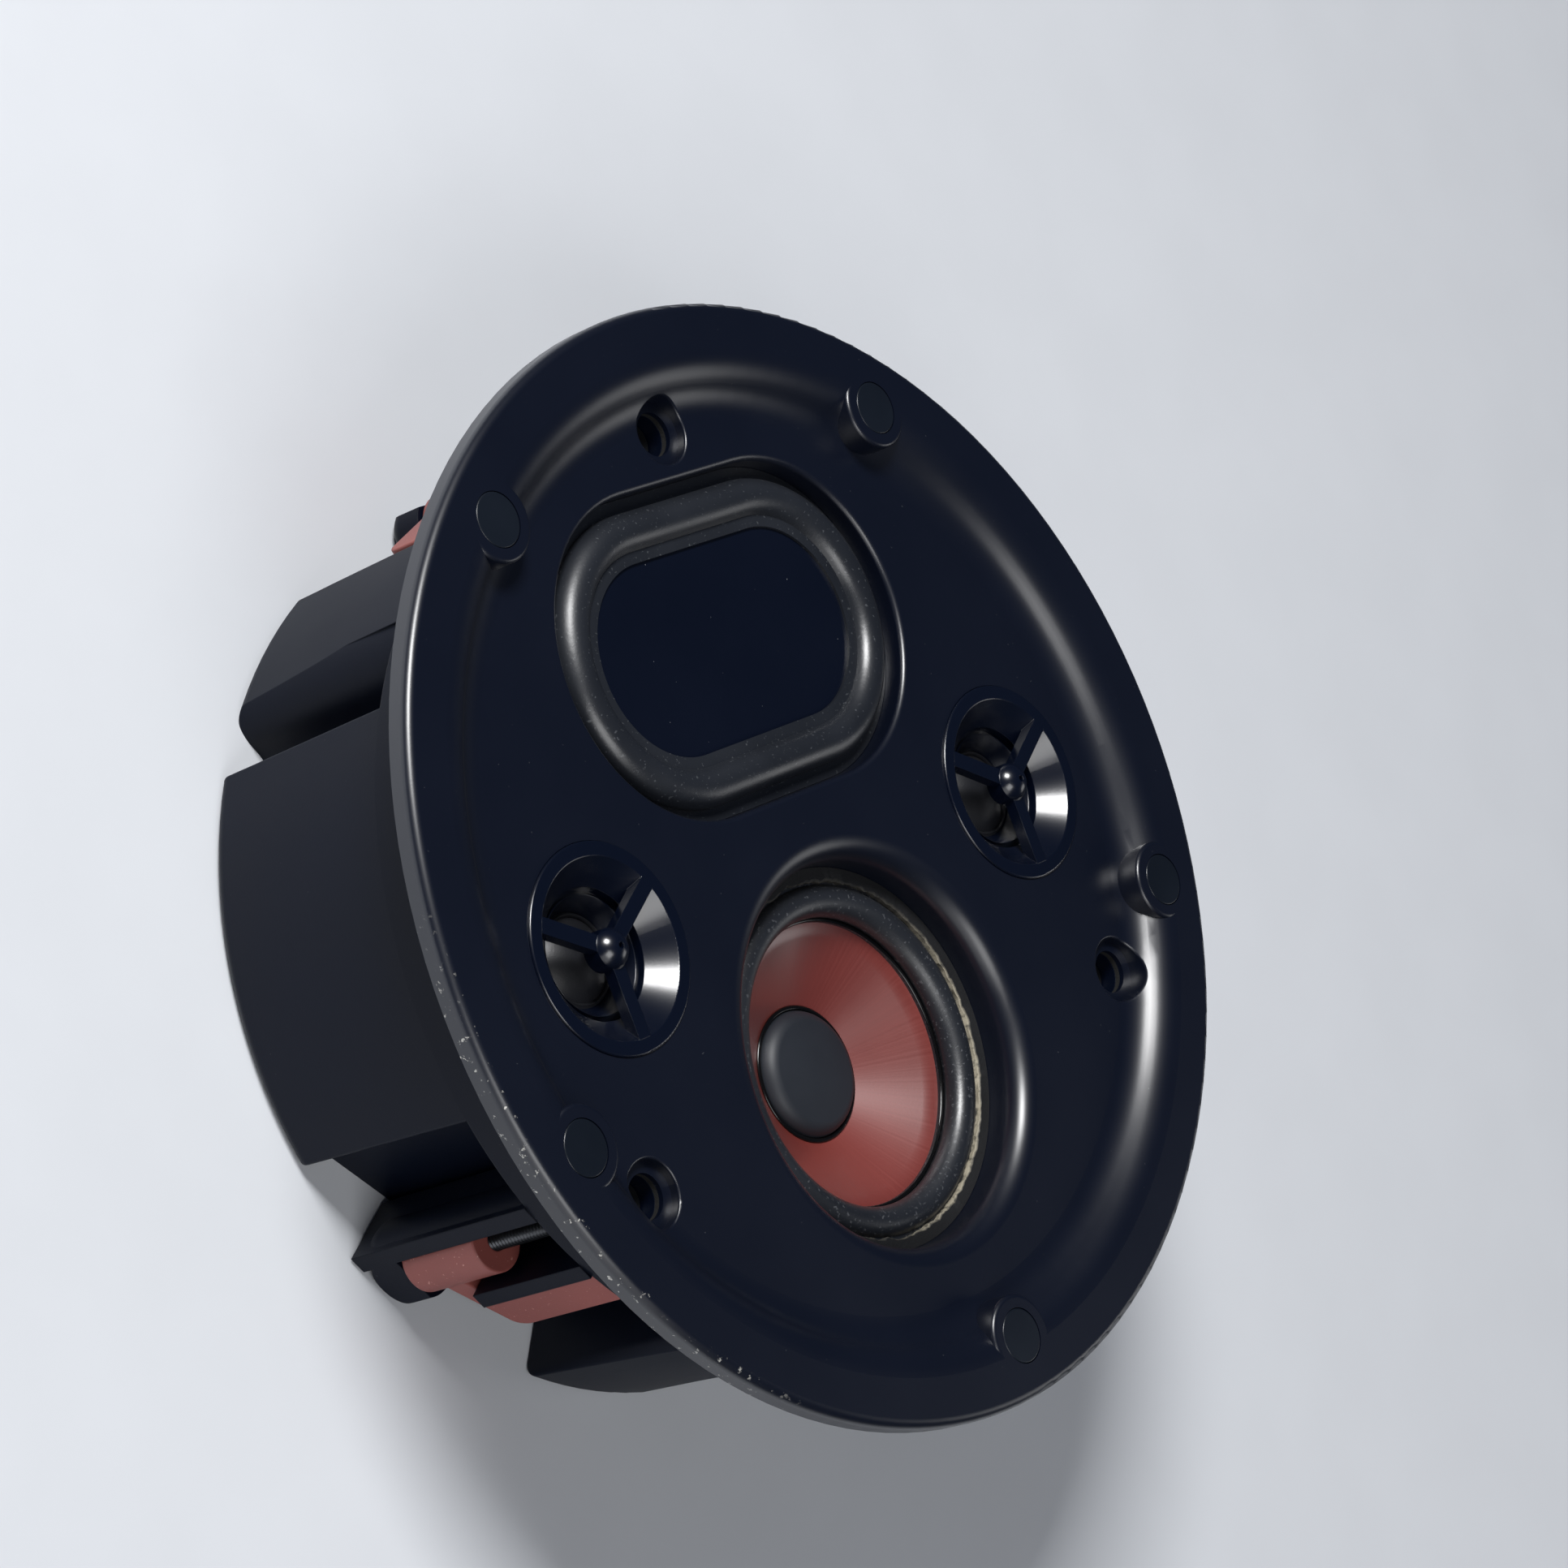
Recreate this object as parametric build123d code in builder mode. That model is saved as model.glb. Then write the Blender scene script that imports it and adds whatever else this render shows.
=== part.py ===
"""In-ceiling speaker with its grille off, lying on the flat back of its sealed can.

The front face looks up (+Z), the passive radiator is at +Y and the woofer at -Y.
The origin is the middle of the can's back.
"""

import os
from math import cos, radians, sin

from build123d import *

os.makedirs("parts", exist_ok=True)

# Clearances
RUNNING = 0.3  # between a piece that moves and its neighbour
SLIP = 0.1  # between pieces that are pushed together
SCREW_SLIP = 0.05  # between a screw and the hole it turns in
PAST = 1.0  # how far a hole runs on past a face or a screw's tip

# Front frame
DEPTH = 73.5  # front rim above the can's back
RIM_WIDE = 9.0  # flat rim of the flange
SLOPE_WIDE = 12.0  # S-shaped slope from the rim down to the baffle
FLANGE_THICK = 4.5
FLANGE_ROUND = 1.8
HUB_STEP = 14.2  # flange beyond the hub that goes into the ceiling's cut-out
BAFFLE_DROP = 5.4  # recess of the baffle below the rim
BAFFLE_THICK = 3.0
SPIGOT_DEEP = 4.0  # ring that centres the can
SPIGOT_WALL = 1.6

# Places of the drivers on the baffle
PASSIVE_MARGIN = 10.0  # baffle beyond the passive radiator
BRIDGE = 9.2  # baffle between the passive radiator and the woofer's flare
WOOFER_MARGIN = 6.9  # baffle beyond the woofer's flare
TWEETER_MARGIN = 4.0  # baffle beyond each tweeter

# Grille magnets
MAGNET_COUNT = 5
MAGNET_INSET = 2.4  # magnets' centres inside the flat rim
MAGNET_START = 54.0  # degrees
MAGNET_R = 5.1
MAGNET_THICK = 2.5
MAGNET_BOSS_R = 7.8
MAGNET_BOSS_ROUND = 0.8
MAGNET_EDGE = 0.3

# Back can
DRUM_STEP = 2.8  # hub beyond the drum
DRUM_TAPER = 1.7  # the drum narrows towards its back
DRUM_ROUND = 3.0
CAN_WALL = 2.5
CAN_EDGE = 0.5  # along the upright edges of pockets and notches
GASKET_THICK = 1.0
COLLAR_HIGH = 18.1  # full ring in front of the clamp pockets and screw notches
OUTSIDE = 150.0  # any radius beyond the whole speaker

# Clamp pockets, in clamp axes: x outward through the screw, y along the rim
CLAMP_COUNT = 3
CLAMP_START = 90.0  # degrees
CLAMP_INSET = 4.8  # clamp screws inside the drum's side
ACCESS_R = 6.3  # holes for the screwdriver
ACCESS_LIP = 0.5
ACCESS_FLOOR = 1.0  # left at the bottom of each hole, round the clamp screw's head
POCKET_LOW_Y = -26.2
POCKET_LOW_DEEP = 7.2  # pocket's floor behind the screw, at its shallow end
POCKET_HIGH_Y = 31.0
POCKET_HIGH_DEEP = 17.9
POCKET_END = 24.4  # degrees past the clamp
POCKET_ROUND = 4.0
LOBE_ROUND = 3.0

# Screw notches beside the pockets
NOTCH_EDGE = 53.0  # degrees from a clamp to the notch's straight side
NOTCH_WIDE = 18.0
NOTCH_DEEP = 15.0
CAN_SCREW_INSET = 8.0  # can screws inside the drum's side
CAN_SCREW_TURN = 3.5  # degrees inside the notch's straight side

# Clamp tower and clamp
TOWER_R = 9.0
TOWER_ROUND = 6.0
RAIL_PROUD = 1.2  # the rails' faces stand out past the tower's
CHANNEL_R = 6.2
LONG_RAIL_Y = -6.5  # middle of the long rail
LONG_RAIL_WIDE = 3.6
RAIL_LOW_Y = 7.0  # short rail on the swing side
RAIL_HIGH_Y = 10.2
RAIL_END_Z = 18.5
TOWER_END_Z = 0.6
CAP_R = 6.8
CAP_ROUND = 3.5
CAP_TOP_Z = 9.4
BARREL_LONG = 18.7
ARM_TURN = 109.0  # degrees from outward when folded away
ARM_INNER = 1.6  # arm's faces, off the screw's axis
ARM_THICK = 3.5
ARM_LONG = 21.5
ARM_FOOT = 11.9  # where the upright part of the arm starts
ARM_LOW_Z = 13.5
ARM_GAP = 1.5  # between the arm and the pocket's ceiling
ARM_ROUND = 3.0
CLAMP_EDGE = 0.4
PILLAR_R = 6.4
CLAMP_SCREW_R = 2.0
CLAMP_HEAD_R = 3.9
CLAMP_HEAD_THICK = 3.2
CLAMP_SEAT_DEEP = 6.6  # head's seat below the can's rim
CLAMP_TIP_Z = 5.0
DRIVE_R = 1.6
DRIVE_DEEP = 1.8

# Screws from the back that hold the can to the frame
CAN_HEAD_R = 3.4
CAN_HEAD_THICK = 2.6
CAN_SHANK_R = 1.6
CAN_SCREW_LONG = 16.0
CAN_BOSS_R = 4.2
CAN_BOSS_LONG = 13.1

# Woofer
MOUTH_R = 36.3
MOUTH_ROUND = 4.3  # soft flare from the mouth to the baffle
MOUTH_DEEP = 10.1  # woofer's seat below the baffle
BASKET_LAP = 3.5  # basket's flange behind the frame
BASKET_RIM = 3.7  # basket's flange inside the mouth
BASKET_THICK = 1.6
SPIDER_DROP = 18.4  # spider's ledge behind the woofer's seat
SPIDER_INSET = 4.4
SPIDER_WAVES = 4
FOOT_INSET = 3.7  # basket's foot inside the spider's edge
MOTOR_DROP = 27.0  # motor's front behind the woofer's seat
WINDOW_COUNT = 4
WINDOW_WIDE = 28.0
WINDOW_HIGH = 11.0
WOOFER_GASKET_WIDE = 2.7
WOOFER_GASKET_THICK = 1.2
RUBBER = 0.6
ROLL_INSET = 3.1  # surround's half roll inside the mouth
ROLL_WIDE = 4.8
ROLL_HIGH = 1.9  # crest above the outer flange
CONE_LIP = 1.0  # flat edge of the cone
CONE_DROP = 2.8  # cone's edge behind the woofer's seat
CONE_DEEP = 9.2
PAPER = 0.7
CAP_FACE_R = 9.6
CAP_HIGH = 3.2
COIL_IN_R = 11.8
COIL_FORMER = 0.3
COIL_WIRE = 0.6
COIL_DROP = 7.0  # former's end behind the motor's front
WIRE_DROP = 5.5
WIRE_LONG = 7.0
POLE_R = 11.2
POLE_VENT_R = 4.0
PLATE_LAP = 5.5  # top plate beyond the basket's foot
PLATE_THICK = 4.0
PLATE_BORE_R = 13.3
WOOFER_MAGNET_LAP = 3.0  # magnet beyond the top plate
WOOFER_MAGNET_BORE_R = 15.5
WOOFER_MAGNET_THICK = 11.5
YOKE_THICK = 5.0
WOOFER_SCREW_COUNT = 4
WOOFER_SCREW_START = 45.0  # degrees
WOOFER_SCREW_R = 1.2
WOOFER_SCREW_LONG = 6.5
WOOFER_HEAD_R = 1.7
WOOFER_HEAD_THICK = 1.6

# Passive radiator
PASSIVE_LONG = 93.5
PASSIVE_WIDE = 60.7
PASSIVE_LIP = 1.2
WELL_WALL = 1.6
WELL_LEDGE = 3.2
WELL_LEDGE_THICK = 2.0
FLANGE_LINE = 10.0  # surround's outer flange below the rim
PLATE_LINE = 8.6  # plate's face below the rim
PASSIVE_PLATE_THICK = 1.6
PASSIVE_RING_WIDE = 12.1  # from the well's wall to the bare plate
FOOT_WIDE = 2.2
PASSIVE_FLANGE_WIDE = 2.7
PASSIVE_ROLL_HIGH = 3.0
WEIGHT_R = 10.0
WEIGHT_THICK = 5.0

# Tweeters
GUARD_R = 19.2
GUARD_PROUD = 0.5
GUARD_FLANGE = 1.8
GUARD_EDGE = 0.4
GUARD_LIP = 1.6  # flange beyond the guard's body
GUARD_FACE = 2.7  # flat face round the horn's mouth
HORN_WIDE = 4.5
HORN_DEEP = 4.4
GROOVE_WIDE = 1.1  # dark groove between the horn and the inner dish
GROOVE_DEEP = 1.2
DISH_DROP = 0.8  # dish's edge below the horn's throat
DISH_WIDE = 2.3
GUARD_DEEP = 9.2
GUARD_ARM_COUNT = 3
GUARD_ARM_START = 30.0  # degrees
GUARD_ARM_WIDE = 3.0
GUARD_ARM_THICK = 2.4
BULLET_R = 3.7
BULLET_HIGH = 2.4
BULLET_DROP = 3.4
BULLET_HOLE_R = 0.6
DOME_INSET = 1.0  # dome's edge inside the dish
DOME_HIGH = 2.6
SILK = 0.4
SUSPENSION_R = 16.4
FRONT_PLATE_R = 17.0
FRONT_PLATE_THICK = 2.0
FRONT_PLATE_GAP = 0.4  # round the coil
TWEETER_COIL_WALL = 0.3
TWEETER_COIL_LONG = 3.6
SLUG_GAP = 0.4  # inside the coil
SLUG_THICK = 2.0
SLUG_DROP = 0.5
NEO_INSET = 0.4
NEO_THICK = 3.5
POT_R = 13.0
POT_WALL = 2.5
POT_FLOOR = 2.0

# Crossover
BOARD_LONG = 92.0
BOARD_WIDE = 28.0
BOARD_THICK = 1.6
BOARD_GAP = 0.4  # to the terminals' bosses
STANDOFF_R = 3.0
STANDOFF_HIGH = 3.6
BOARD_HOLE_INSET = 4.0
BOARD_SCREW_R = 1.2
BOARD_HEAD_R = 2.4
BOARD_HEAD_THICK = 1.6
BOARD_SCREW_LONG = 4.3
COIL_X = 24.0
COIL_CORE_R = 4.0
COIL_FLANGE_R = 10.5
COIL_WOUND_R = 9.5
COIL_HIGH = 13.0
COIL_FLANGE = 1.2
CAPACITOR_R = 5.0
CAPACITOR_LONG = 19.0
CAPACITOR_PITCH = 11.0
RESISTOR_X = 39.5
RESISTOR_LONG = 13.0
RESISTOR_WIDE = 8.0

# Terminals in the can's back
TERMINAL_MARGIN = 1.3  # between the cup's flange and the clamp pocket
CUP_LONG = 46.0
CUP_WIDE = 26.0
CUP_WALL = 1.6
CUP_DEEP = 16.0
CUP_BORDER = 5.0
CUP_FLANGE = 1.3
CUP_SUNK = 0.2  # flange below the can's back
CUP_ROUND = 3.0
PUSH_X = 10.0
PUSH_Y = -4.5
PUSH_SIZE = 9.0
PUSH_HEAD = 4.5
PUSH_STEM = 5.0
PUSH_REST = 2.6  # head below the cup's floor at rest
PUSH_STEM_UP = 4.0
PUSH_CATCH = 7.0  # catch that rests on the cup's floor
PUSH_CATCH_THICK = 1.2
WIRE_HOLE_R = 2.2
WIRE_HOLE_Y = 6.0
CONTACT_LONG = 9.0
CONTACT_WIDE = 4.4
CONTACT_THICK = 0.8
CONTACT_TAB = 5.0
CUP_SCREW_R = 1.2
CUP_HEAD_R = 2.1
CUP_HEAD_THICK = 0.7
CUP_SCREW_LONG = 4.4
CUP_BOSS_R = 2.9
CUP_BOSS_HIGH = 5.5

# Radii and places that follow from the drivers
BAFFLE_R = (PASSIVE_MARGIN + PASSIVE_WIDE + BRIDGE + WOOFER_MARGIN) / 2 + MOUTH_R + MOUTH_ROUND
PASSIVE_Y = BAFFLE_R - PASSIVE_MARGIN - PASSIVE_WIDE / 2
WOOFER_Y = WOOFER_MARGIN + MOUTH_ROUND + MOUTH_R - BAFFLE_R
TWEETER_X = BAFFLE_R - TWEETER_MARGIN - GUARD_R
SLOPE_OUT_R = BAFFLE_R + SLOPE_WIDE
FLANGE_R = SLOPE_OUT_R + RIM_WIDE
MAGNET_RING_R = SLOPE_OUT_R - MAGNET_INSET
MAGNET_ANGLES = [MAGNET_START + 360 / MAGNET_COUNT * n for n in range(MAGNET_COUNT)]
HUB_R = FLANGE_R - HUB_STEP
DRUM_R = HUB_R - DRUM_STEP
DRUM_BACK_R = DRUM_R - DRUM_TAPER
CAN_IN_R = DRUM_R - CAN_WALL
SPIGOT_R = CAN_IN_R - RUNNING
CLAMP_R = DRUM_R - CLAMP_INSET
NOTCH_FLOOR_R = DRUM_R - NOTCH_DEEP
CAN_SCREW_R = DRUM_R - CAN_SCREW_INSET
CLAMP_ANGLES = [CLAMP_START + 360 / CLAMP_COUNT * n for n in range(CLAMP_COUNT)]
NOTCH_ANGLES = [angle + NOTCH_EDGE for angle in CLAMP_ANGLES]
CAN_SCREW_SPOTS = [(CAN_SCREW_R, angle - CAN_SCREW_TURN) for angle in NOTCH_ANGLES]
BARREL_R = CHANNEL_R - RUNNING
HEAD_BORE_R = CLAMP_HEAD_R + RUNNING
SHANK_BORE_R = CLAMP_SCREW_R + SCREW_SLIP
BASKET_R = MOUTH_R + BASKET_LAP
BASKET_INNER_R = MOUTH_R - BASKET_RIM
WOOFER_SCREW_RING_R = (MOUTH_R + BASKET_R) / 2
SPIDER_R = BASKET_INNER_R - SPIDER_INSET
BASKET_FOOT_R = SPIDER_R - FOOT_INSET
PLATE_R = BASKET_FOOT_R + PLATE_LAP
ROLL_OUT_R = MOUTH_R - ROLL_INSET
ROLL_IN_R = ROLL_OUT_R - ROLL_WIDE
CONE_R = ROLL_IN_R - CONE_LIP
FORMER_R = COIL_IN_R + COIL_FORMER
GUARD_BODY_R = GUARD_R - GUARD_LIP
HORN_R = GUARD_R - GUARD_FACE
THROAT_R = HORN_R - HORN_WIDE
DISH_R = THROAT_R - GROOVE_WIDE
DISH_IN_R = DISH_R - DISH_WIDE
DOME_R = DISH_IN_R - DOME_INSET
TERMINAL_Y = CLAMP_R - POCKET_HIGH_DEEP - TERMINAL_MARGIN - CUP_BORDER - CUP_WIDE / 2
BOARD_Y = TERMINAL_Y - (CUP_WIDE + CUP_BORDER) / 2 - CUP_BOSS_R - BOARD_GAP - BOARD_WIDE / 2

# Heights that follow from the depth
RIM_Z = DEPTH
SEAT_Z = RIM_Z - FLANGE_THICK
BAFFLE_Z = RIM_Z - BAFFLE_DROP
FRAME_BACK_Z = BAFFLE_Z - BAFFLE_THICK
CAN_RIM_Z = FRAME_BACK_Z - GASKET_THICK
LEDGE_Z = CAN_RIM_Z - COLLAR_HIGH
UPRIGHT_LONG = LEDGE_Z - DRUM_ROUND - SLIP
CAN_BOSS_Z = FRAME_BACK_Z - CAN_BOSS_LONG
CAN_SCREW_TOP_Z = LEDGE_Z + CAN_SCREW_LONG
CLAMP_SEAT_Z = CAN_RIM_Z - CLAMP_SEAT_DEEP
BARREL_LOW_Z = CAP_TOP_Z + RUNNING
WEB_TOP_Z = RAIL_END_Z - RUNNING
ARM_TOP_Z = LEDGE_Z - ARM_GAP
WOOFER_SEAT_Z = BAFFLE_Z - MOUTH_DEEP
SPIDER_SEAT_Z = WOOFER_SEAT_Z - SPIDER_DROP
PLATE_TOP_Z = WOOFER_SEAT_Z - MOTOR_DROP
MAGNET_TOP_Z = PLATE_TOP_Z - PLATE_THICK
YOKE_TOP_Z = MAGNET_TOP_Z - WOOFER_MAGNET_THICK
CONE_EDGE_Z = WOOFER_SEAT_Z - CONE_DROP
CONE_NECK_Z = CONE_EDGE_Z - CONE_DEEP
WELL_FLANGE_Z = RIM_Z - FLANGE_LINE
WELL_LEDGE_Z = WELL_FLANGE_Z - RUBBER
PASSIVE_FACE_Z = RIM_Z - PLATE_LINE
GUARD_TOP_Z = BAFFLE_Z + GUARD_PROUD
THROAT_Z = GUARD_TOP_Z - HORN_DEEP
DISH_Z = THROAT_Z - DISH_DROP
SUSPENSION_Z = GUARD_TOP_Z - GUARD_DEEP
FRONT_PLATE_Z = SUSPENSION_Z - SILK
CAN_FLOOR_Z = CAN_WALL
BOARD_Z = CAN_FLOOR_Z + STANDOFF_HIGH
BOARD_TOP_Z = BOARD_Z + BOARD_THICK
CUP_FLOOR_Z = CUP_SUNK + CUP_DEEP - CUP_WALL
CUP_REBATE_Z = CUP_SUNK + CUP_FLANGE


def save(piece, name):
    """Labels a finished piece and writes its STEP file."""
    piece.part.label = name
    export_step(piece.part, f"parts/{name}.step")


def polar(radius, angle):
    """Point at a radius and an angle in degrees."""
    return radius * cos(radians(angle)), radius * sin(radians(angle))


def upright(x=0.0, y=0.0):
    """Sketch plane through an upright axis: x is the radius and y is the height."""
    return Plane(origin=(x, y, 0), x_dir=(1, 0, 0), z_dir=(0, -1, 0))


def facing(angle, height=0.0):
    """Level sketch plane whose x axis points outward at an angle."""
    return Plane(origin=(0, 0, height), x_dir=(*polar(1, angle), 0), z_dir=(0, 0, 1))


def turn(points, x=0.0, y=0.0, mode=Mode.ADD):
    """Solid turned about the upright axis through x, y from (radius, height) points."""
    with BuildSketch(upright(x, y)) as outline:
        with BuildLine():
            Polyline(*points, close=True)
        make_face()
    revolve(outline.sketch, axis=Axis((x, y, 0), (0, 0, 1)), mode=mode)


def tube(inner, outer, low, high, x=0.0, y=0.0, mode=Mode.ADD):
    """Upright tube, or a rod where the inner radius is 0."""
    turn([(inner, low), (outer, low), (outer, high), (inner, high)], x, y, mode)


def block(x, y, long, wide, low, high, mode=Mode.ADD):
    """Upright block centred on x, y."""
    with BuildSketch(Plane.XY.offset(low)) as base:
        with Locations((x, y)):
            Rectangle(long, wide)
    extrude(base.sketch, amount=high - low, mode=mode)


def obround(inset, low, high, mode=Mode.ADD):
    """Prism with the passive radiator's outline, moved in from the well's wall."""
    with BuildSketch(Plane.XY.offset(low)) as outline:
        with Locations((0, PASSIVE_Y)):
            SlotOverall(PASSIVE_LONG - 2 * inset, PASSIVE_WIDE - 2 * inset)
    extrude(outline.sketch, amount=high - low, mode=mode)


def pan_screw(x, y, seat, tip, head_r, head_thick, shank_r, up=True):
    """Screw whose head stands on a seat, with its shank down to a tip, or the reverse."""
    crown = seat + head_thick if up else seat - head_thick
    turn([(0, crown), (head_r, crown), (head_r, seat), (shank_r, seat), (shank_r, tip), (0, tip)], x, y)


def pocket(angle, grow, low, high, mode):
    """Clamp pocket in the drum's side, or its walls where it grows."""
    with BuildSketch(facing(angle, low)) as outline:
        corner = polar(DRUM_R, POCKET_END)
        along = polar(LOBE_ROUND * 3, POCKET_END + 90)
        beyond = corner[0] + along[0], corner[1] + along[1]
        with BuildLine():
            Polyline(
                (OUTSIDE, POCKET_LOW_Y),
                (CLAMP_R - POCKET_LOW_DEEP, POCKET_LOW_Y),
                (CLAMP_R - POCKET_HIGH_DEEP, POCKET_HIGH_Y),
                corner,
                beyond,
                (OUTSIDE, beyond[1]),
                close=True,
            )
        make_face()
        fillet(outline.vertices().sort_by(Axis.X)[:2], POCKET_ROUND)
        fillet(outline.vertices().sort_by_distance(corner)[:1], LOBE_ROUND)
        if grow:
            offset(amount=grow, kind=Kind.INTERSECTION, mode=Mode.REPLACE)
    extrude(outline.sketch, amount=high - low, mode=mode)


def notch(angle, grow, low, high, mode):
    """Screw notch: one straight side, and an S-shaped floor that runs out to the drum."""
    with BuildSketch(facing(angle, low)) as outline:
        rise = CAN_IN_R - NOTCH_FLOOR_R
        with BuildLine():
            side = Line((OUTSIDE, 0), (NOTCH_FLOOR_R, 0))
            hollow = TangentArc(side @ 1, (NOTCH_FLOOR_R + rise / 2, -NOTCH_WIDE / 2), tangent=(0, -1))
            swell = TangentArc(hollow @ 1, (CAN_IN_R, -NOTCH_WIDE), tangent=hollow % 1)
            Polyline(swell @ 1, (OUTSIDE, -NOTCH_WIDE), (OUTSIDE, 0))
        make_face()
        if grow:
            offset(amount=grow, kind=Kind.INTERSECTION, mode=Mode.REPLACE)
    extrude(outline.sketch, amount=high - low, mode=mode)


def rounded_rod(radius, bend, end, root, x, y=0):
    """Upright rod from a plain root to an end whose edge is rounded."""
    side = end + bend if root > end else end - bend
    with BuildSketch(upright(x, y)) as section:
        with BuildLine():
            face = Line((0, end), (radius - bend, end))
            edge = TangentArc(face @ 1, (radius, side), tangent=(1, 0))
            Polyline(edge @ 1, (radius, root), (0, root), (0, end))
        make_face()
    revolve(section.sketch, axis=Axis((x, y, 0), (0, 0, 1)))


# Front frame: flange, sloped rim, baffle, driver wells and the bosses behind them
with BuildPart() as baffle_frame:
    with BuildSketch(Plane.XZ):
        with BuildLine():
            face = Line((0, BAFFLE_Z), (BAFFLE_R, BAFFLE_Z))
            middle = (BAFFLE_R + SLOPE_OUT_R) / 2, (BAFFLE_Z + RIM_Z) / 2
            dip = TangentArc(face @ 1, middle, tangent=(1, 0))
            crest = TangentArc(dip @ 1, (SLOPE_OUT_R, RIM_Z), tangent=dip % 1)
            rim = Line(crest @ 1, (FLANGE_R - FLANGE_ROUND, RIM_Z))
            edge = TangentArc(rim @ 1, (FLANGE_R, RIM_Z - FLANGE_ROUND), tangent=(1, 0))
            Polyline(edge @ 1, (FLANGE_R, FRAME_BACK_Z), (0, FRAME_BACK_Z), (0, BAFFLE_Z))
        make_face()
    revolve(axis=Axis.Z)
    for angle in MAGNET_ANGLES:
        rounded_rod(MAGNET_BOSS_R, MAGNET_BOSS_ROUND, RIM_Z, FRAME_BACK_Z, *polar(MAGNET_RING_R, angle))
    tube(HUB_R, OUTSIDE, FRAME_BACK_Z - SPIGOT_DEEP, SEAT_Z, mode=Mode.SUBTRACT)
    tube(SPIGOT_R - SPIGOT_WALL, SPIGOT_R, FRAME_BACK_Z - SPIGOT_DEEP, FRAME_BACK_Z)
    obround(-WELL_WALL, WELL_LEDGE_Z - WELL_LEDGE_THICK, FRAME_BACK_Z)
    tube(0, BASKET_R, WOOFER_SEAT_Z, FRAME_BACK_Z, y=WOOFER_Y)
    for spot in CAN_SCREW_SPOTS:
        tube(0, CAN_BOSS_R, CAN_BOSS_Z, FRAME_BACK_Z, *polar(*spot))
    # openings, from the front
    obround(0, WELL_LEDGE_Z, RIM_Z, mode=Mode.SUBTRACT)
    face_edges = baffle_frame.edges().filter_by_position(Axis.Z, BAFFLE_Z, BAFFLE_Z)
    fillet(face_edges.sort_by_distance((0, PASSIVE_Y, BAFFLE_Z))[:4], PASSIVE_LIP)
    obround(WELL_LEDGE, CAN_BOSS_Z, RIM_Z, mode=Mode.SUBTRACT)
    with BuildSketch(upright(0, WOOFER_Y)) as mouth:
        with BuildLine():
            throat = Line((MOUTH_R, CAN_BOSS_Z), (MOUTH_R, BAFFLE_Z - MOUTH_ROUND))
            flare = TangentArc(throat @ 1, (MOUTH_R + MOUTH_ROUND, BAFFLE_Z), tangent=(0, 1))
            Polyline(flare @ 1, (MOUTH_R + MOUTH_ROUND, RIM_Z), (0, RIM_Z), (0, CAN_BOSS_Z), throat @ 0)
        make_face()
    revolve(mouth.sketch, axis=Axis((0, WOOFER_Y, 0), (0, 0, 1)), mode=Mode.SUBTRACT)
    for x in (-TWEETER_X, TWEETER_X):
        tube(0, GUARD_BODY_R + SLIP, FRAME_BACK_Z, RIM_Z, x, mode=Mode.SUBTRACT)
        tube(0, GUARD_R + SLIP, GUARD_TOP_Z - GUARD_FLANGE, RIM_Z, x, mode=Mode.SUBTRACT)
    for angle in CLAMP_ANGLES:
        spot = polar(CLAMP_R, angle)
        tube(0, ACCESS_R, FRAME_BACK_Z + ACCESS_FLOOR, RIM_Z + PAST, *spot, mode=Mode.SUBTRACT)
        lip = baffle_frame.edges(Select.LAST).filter_by_position(Axis.Z, BAFFLE_Z, RIM_Z)
        fillet(lip, ACCESS_LIP)
        tube(0, HEAD_BORE_R, FRAME_BACK_Z, BAFFLE_Z, *spot, mode=Mode.SUBTRACT)
        tube(0, PILLAR_R + RUNNING, FRAME_BACK_Z - SPIGOT_DEEP, FRAME_BACK_Z, *spot, mode=Mode.SUBTRACT)
    # pilot holes for the screws behind
    for spot in CAN_SCREW_SPOTS:
        hole_top = CAN_SCREW_TOP_Z + PAST
        tube(0, CAN_SHANK_R + SCREW_SLIP, CAN_BOSS_Z, hole_top, *polar(*spot), mode=Mode.SUBTRACT)
    with BuildSketch(Plane.XY.offset(WOOFER_SEAT_Z)):
        with Locations((0, WOOFER_Y)):
            with PolarLocations(WOOFER_SCREW_RING_R, WOOFER_SCREW_COUNT, start_angle=WOOFER_SCREW_START):
                Circle(WOOFER_SCREW_R + SCREW_SLIP)
    extrude(amount=WOOFER_SCREW_LONG - BASKET_THICK + PAST, mode=Mode.SUBTRACT)
    with BuildSketch(Plane.XY.offset(RIM_Z)):
        with PolarLocations(MAGNET_RING_R, MAGNET_COUNT, start_angle=MAGNET_START):
            Circle(MAGNET_R + SLIP)
    extrude(amount=-MAGNET_THICK, mode=Mode.SUBTRACT)
save(baffle_frame, "baffle_frame")

# Discs that hold the grille, level with the rim
with BuildPart() as grille_magnets:
    with BuildSketch(Plane.XY.offset(RIM_Z - MAGNET_THICK)):
        with PolarLocations(MAGNET_RING_R, MAGNET_COUNT, start_angle=MAGNET_START):
            Circle(MAGNET_R)
    extrude(amount=MAGNET_THICK)
    fillet(grille_magnets.edges().group_by(Axis.Z)[-1], MAGNET_EDGE)
save(grille_magnets, "grille_magnets")

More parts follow.
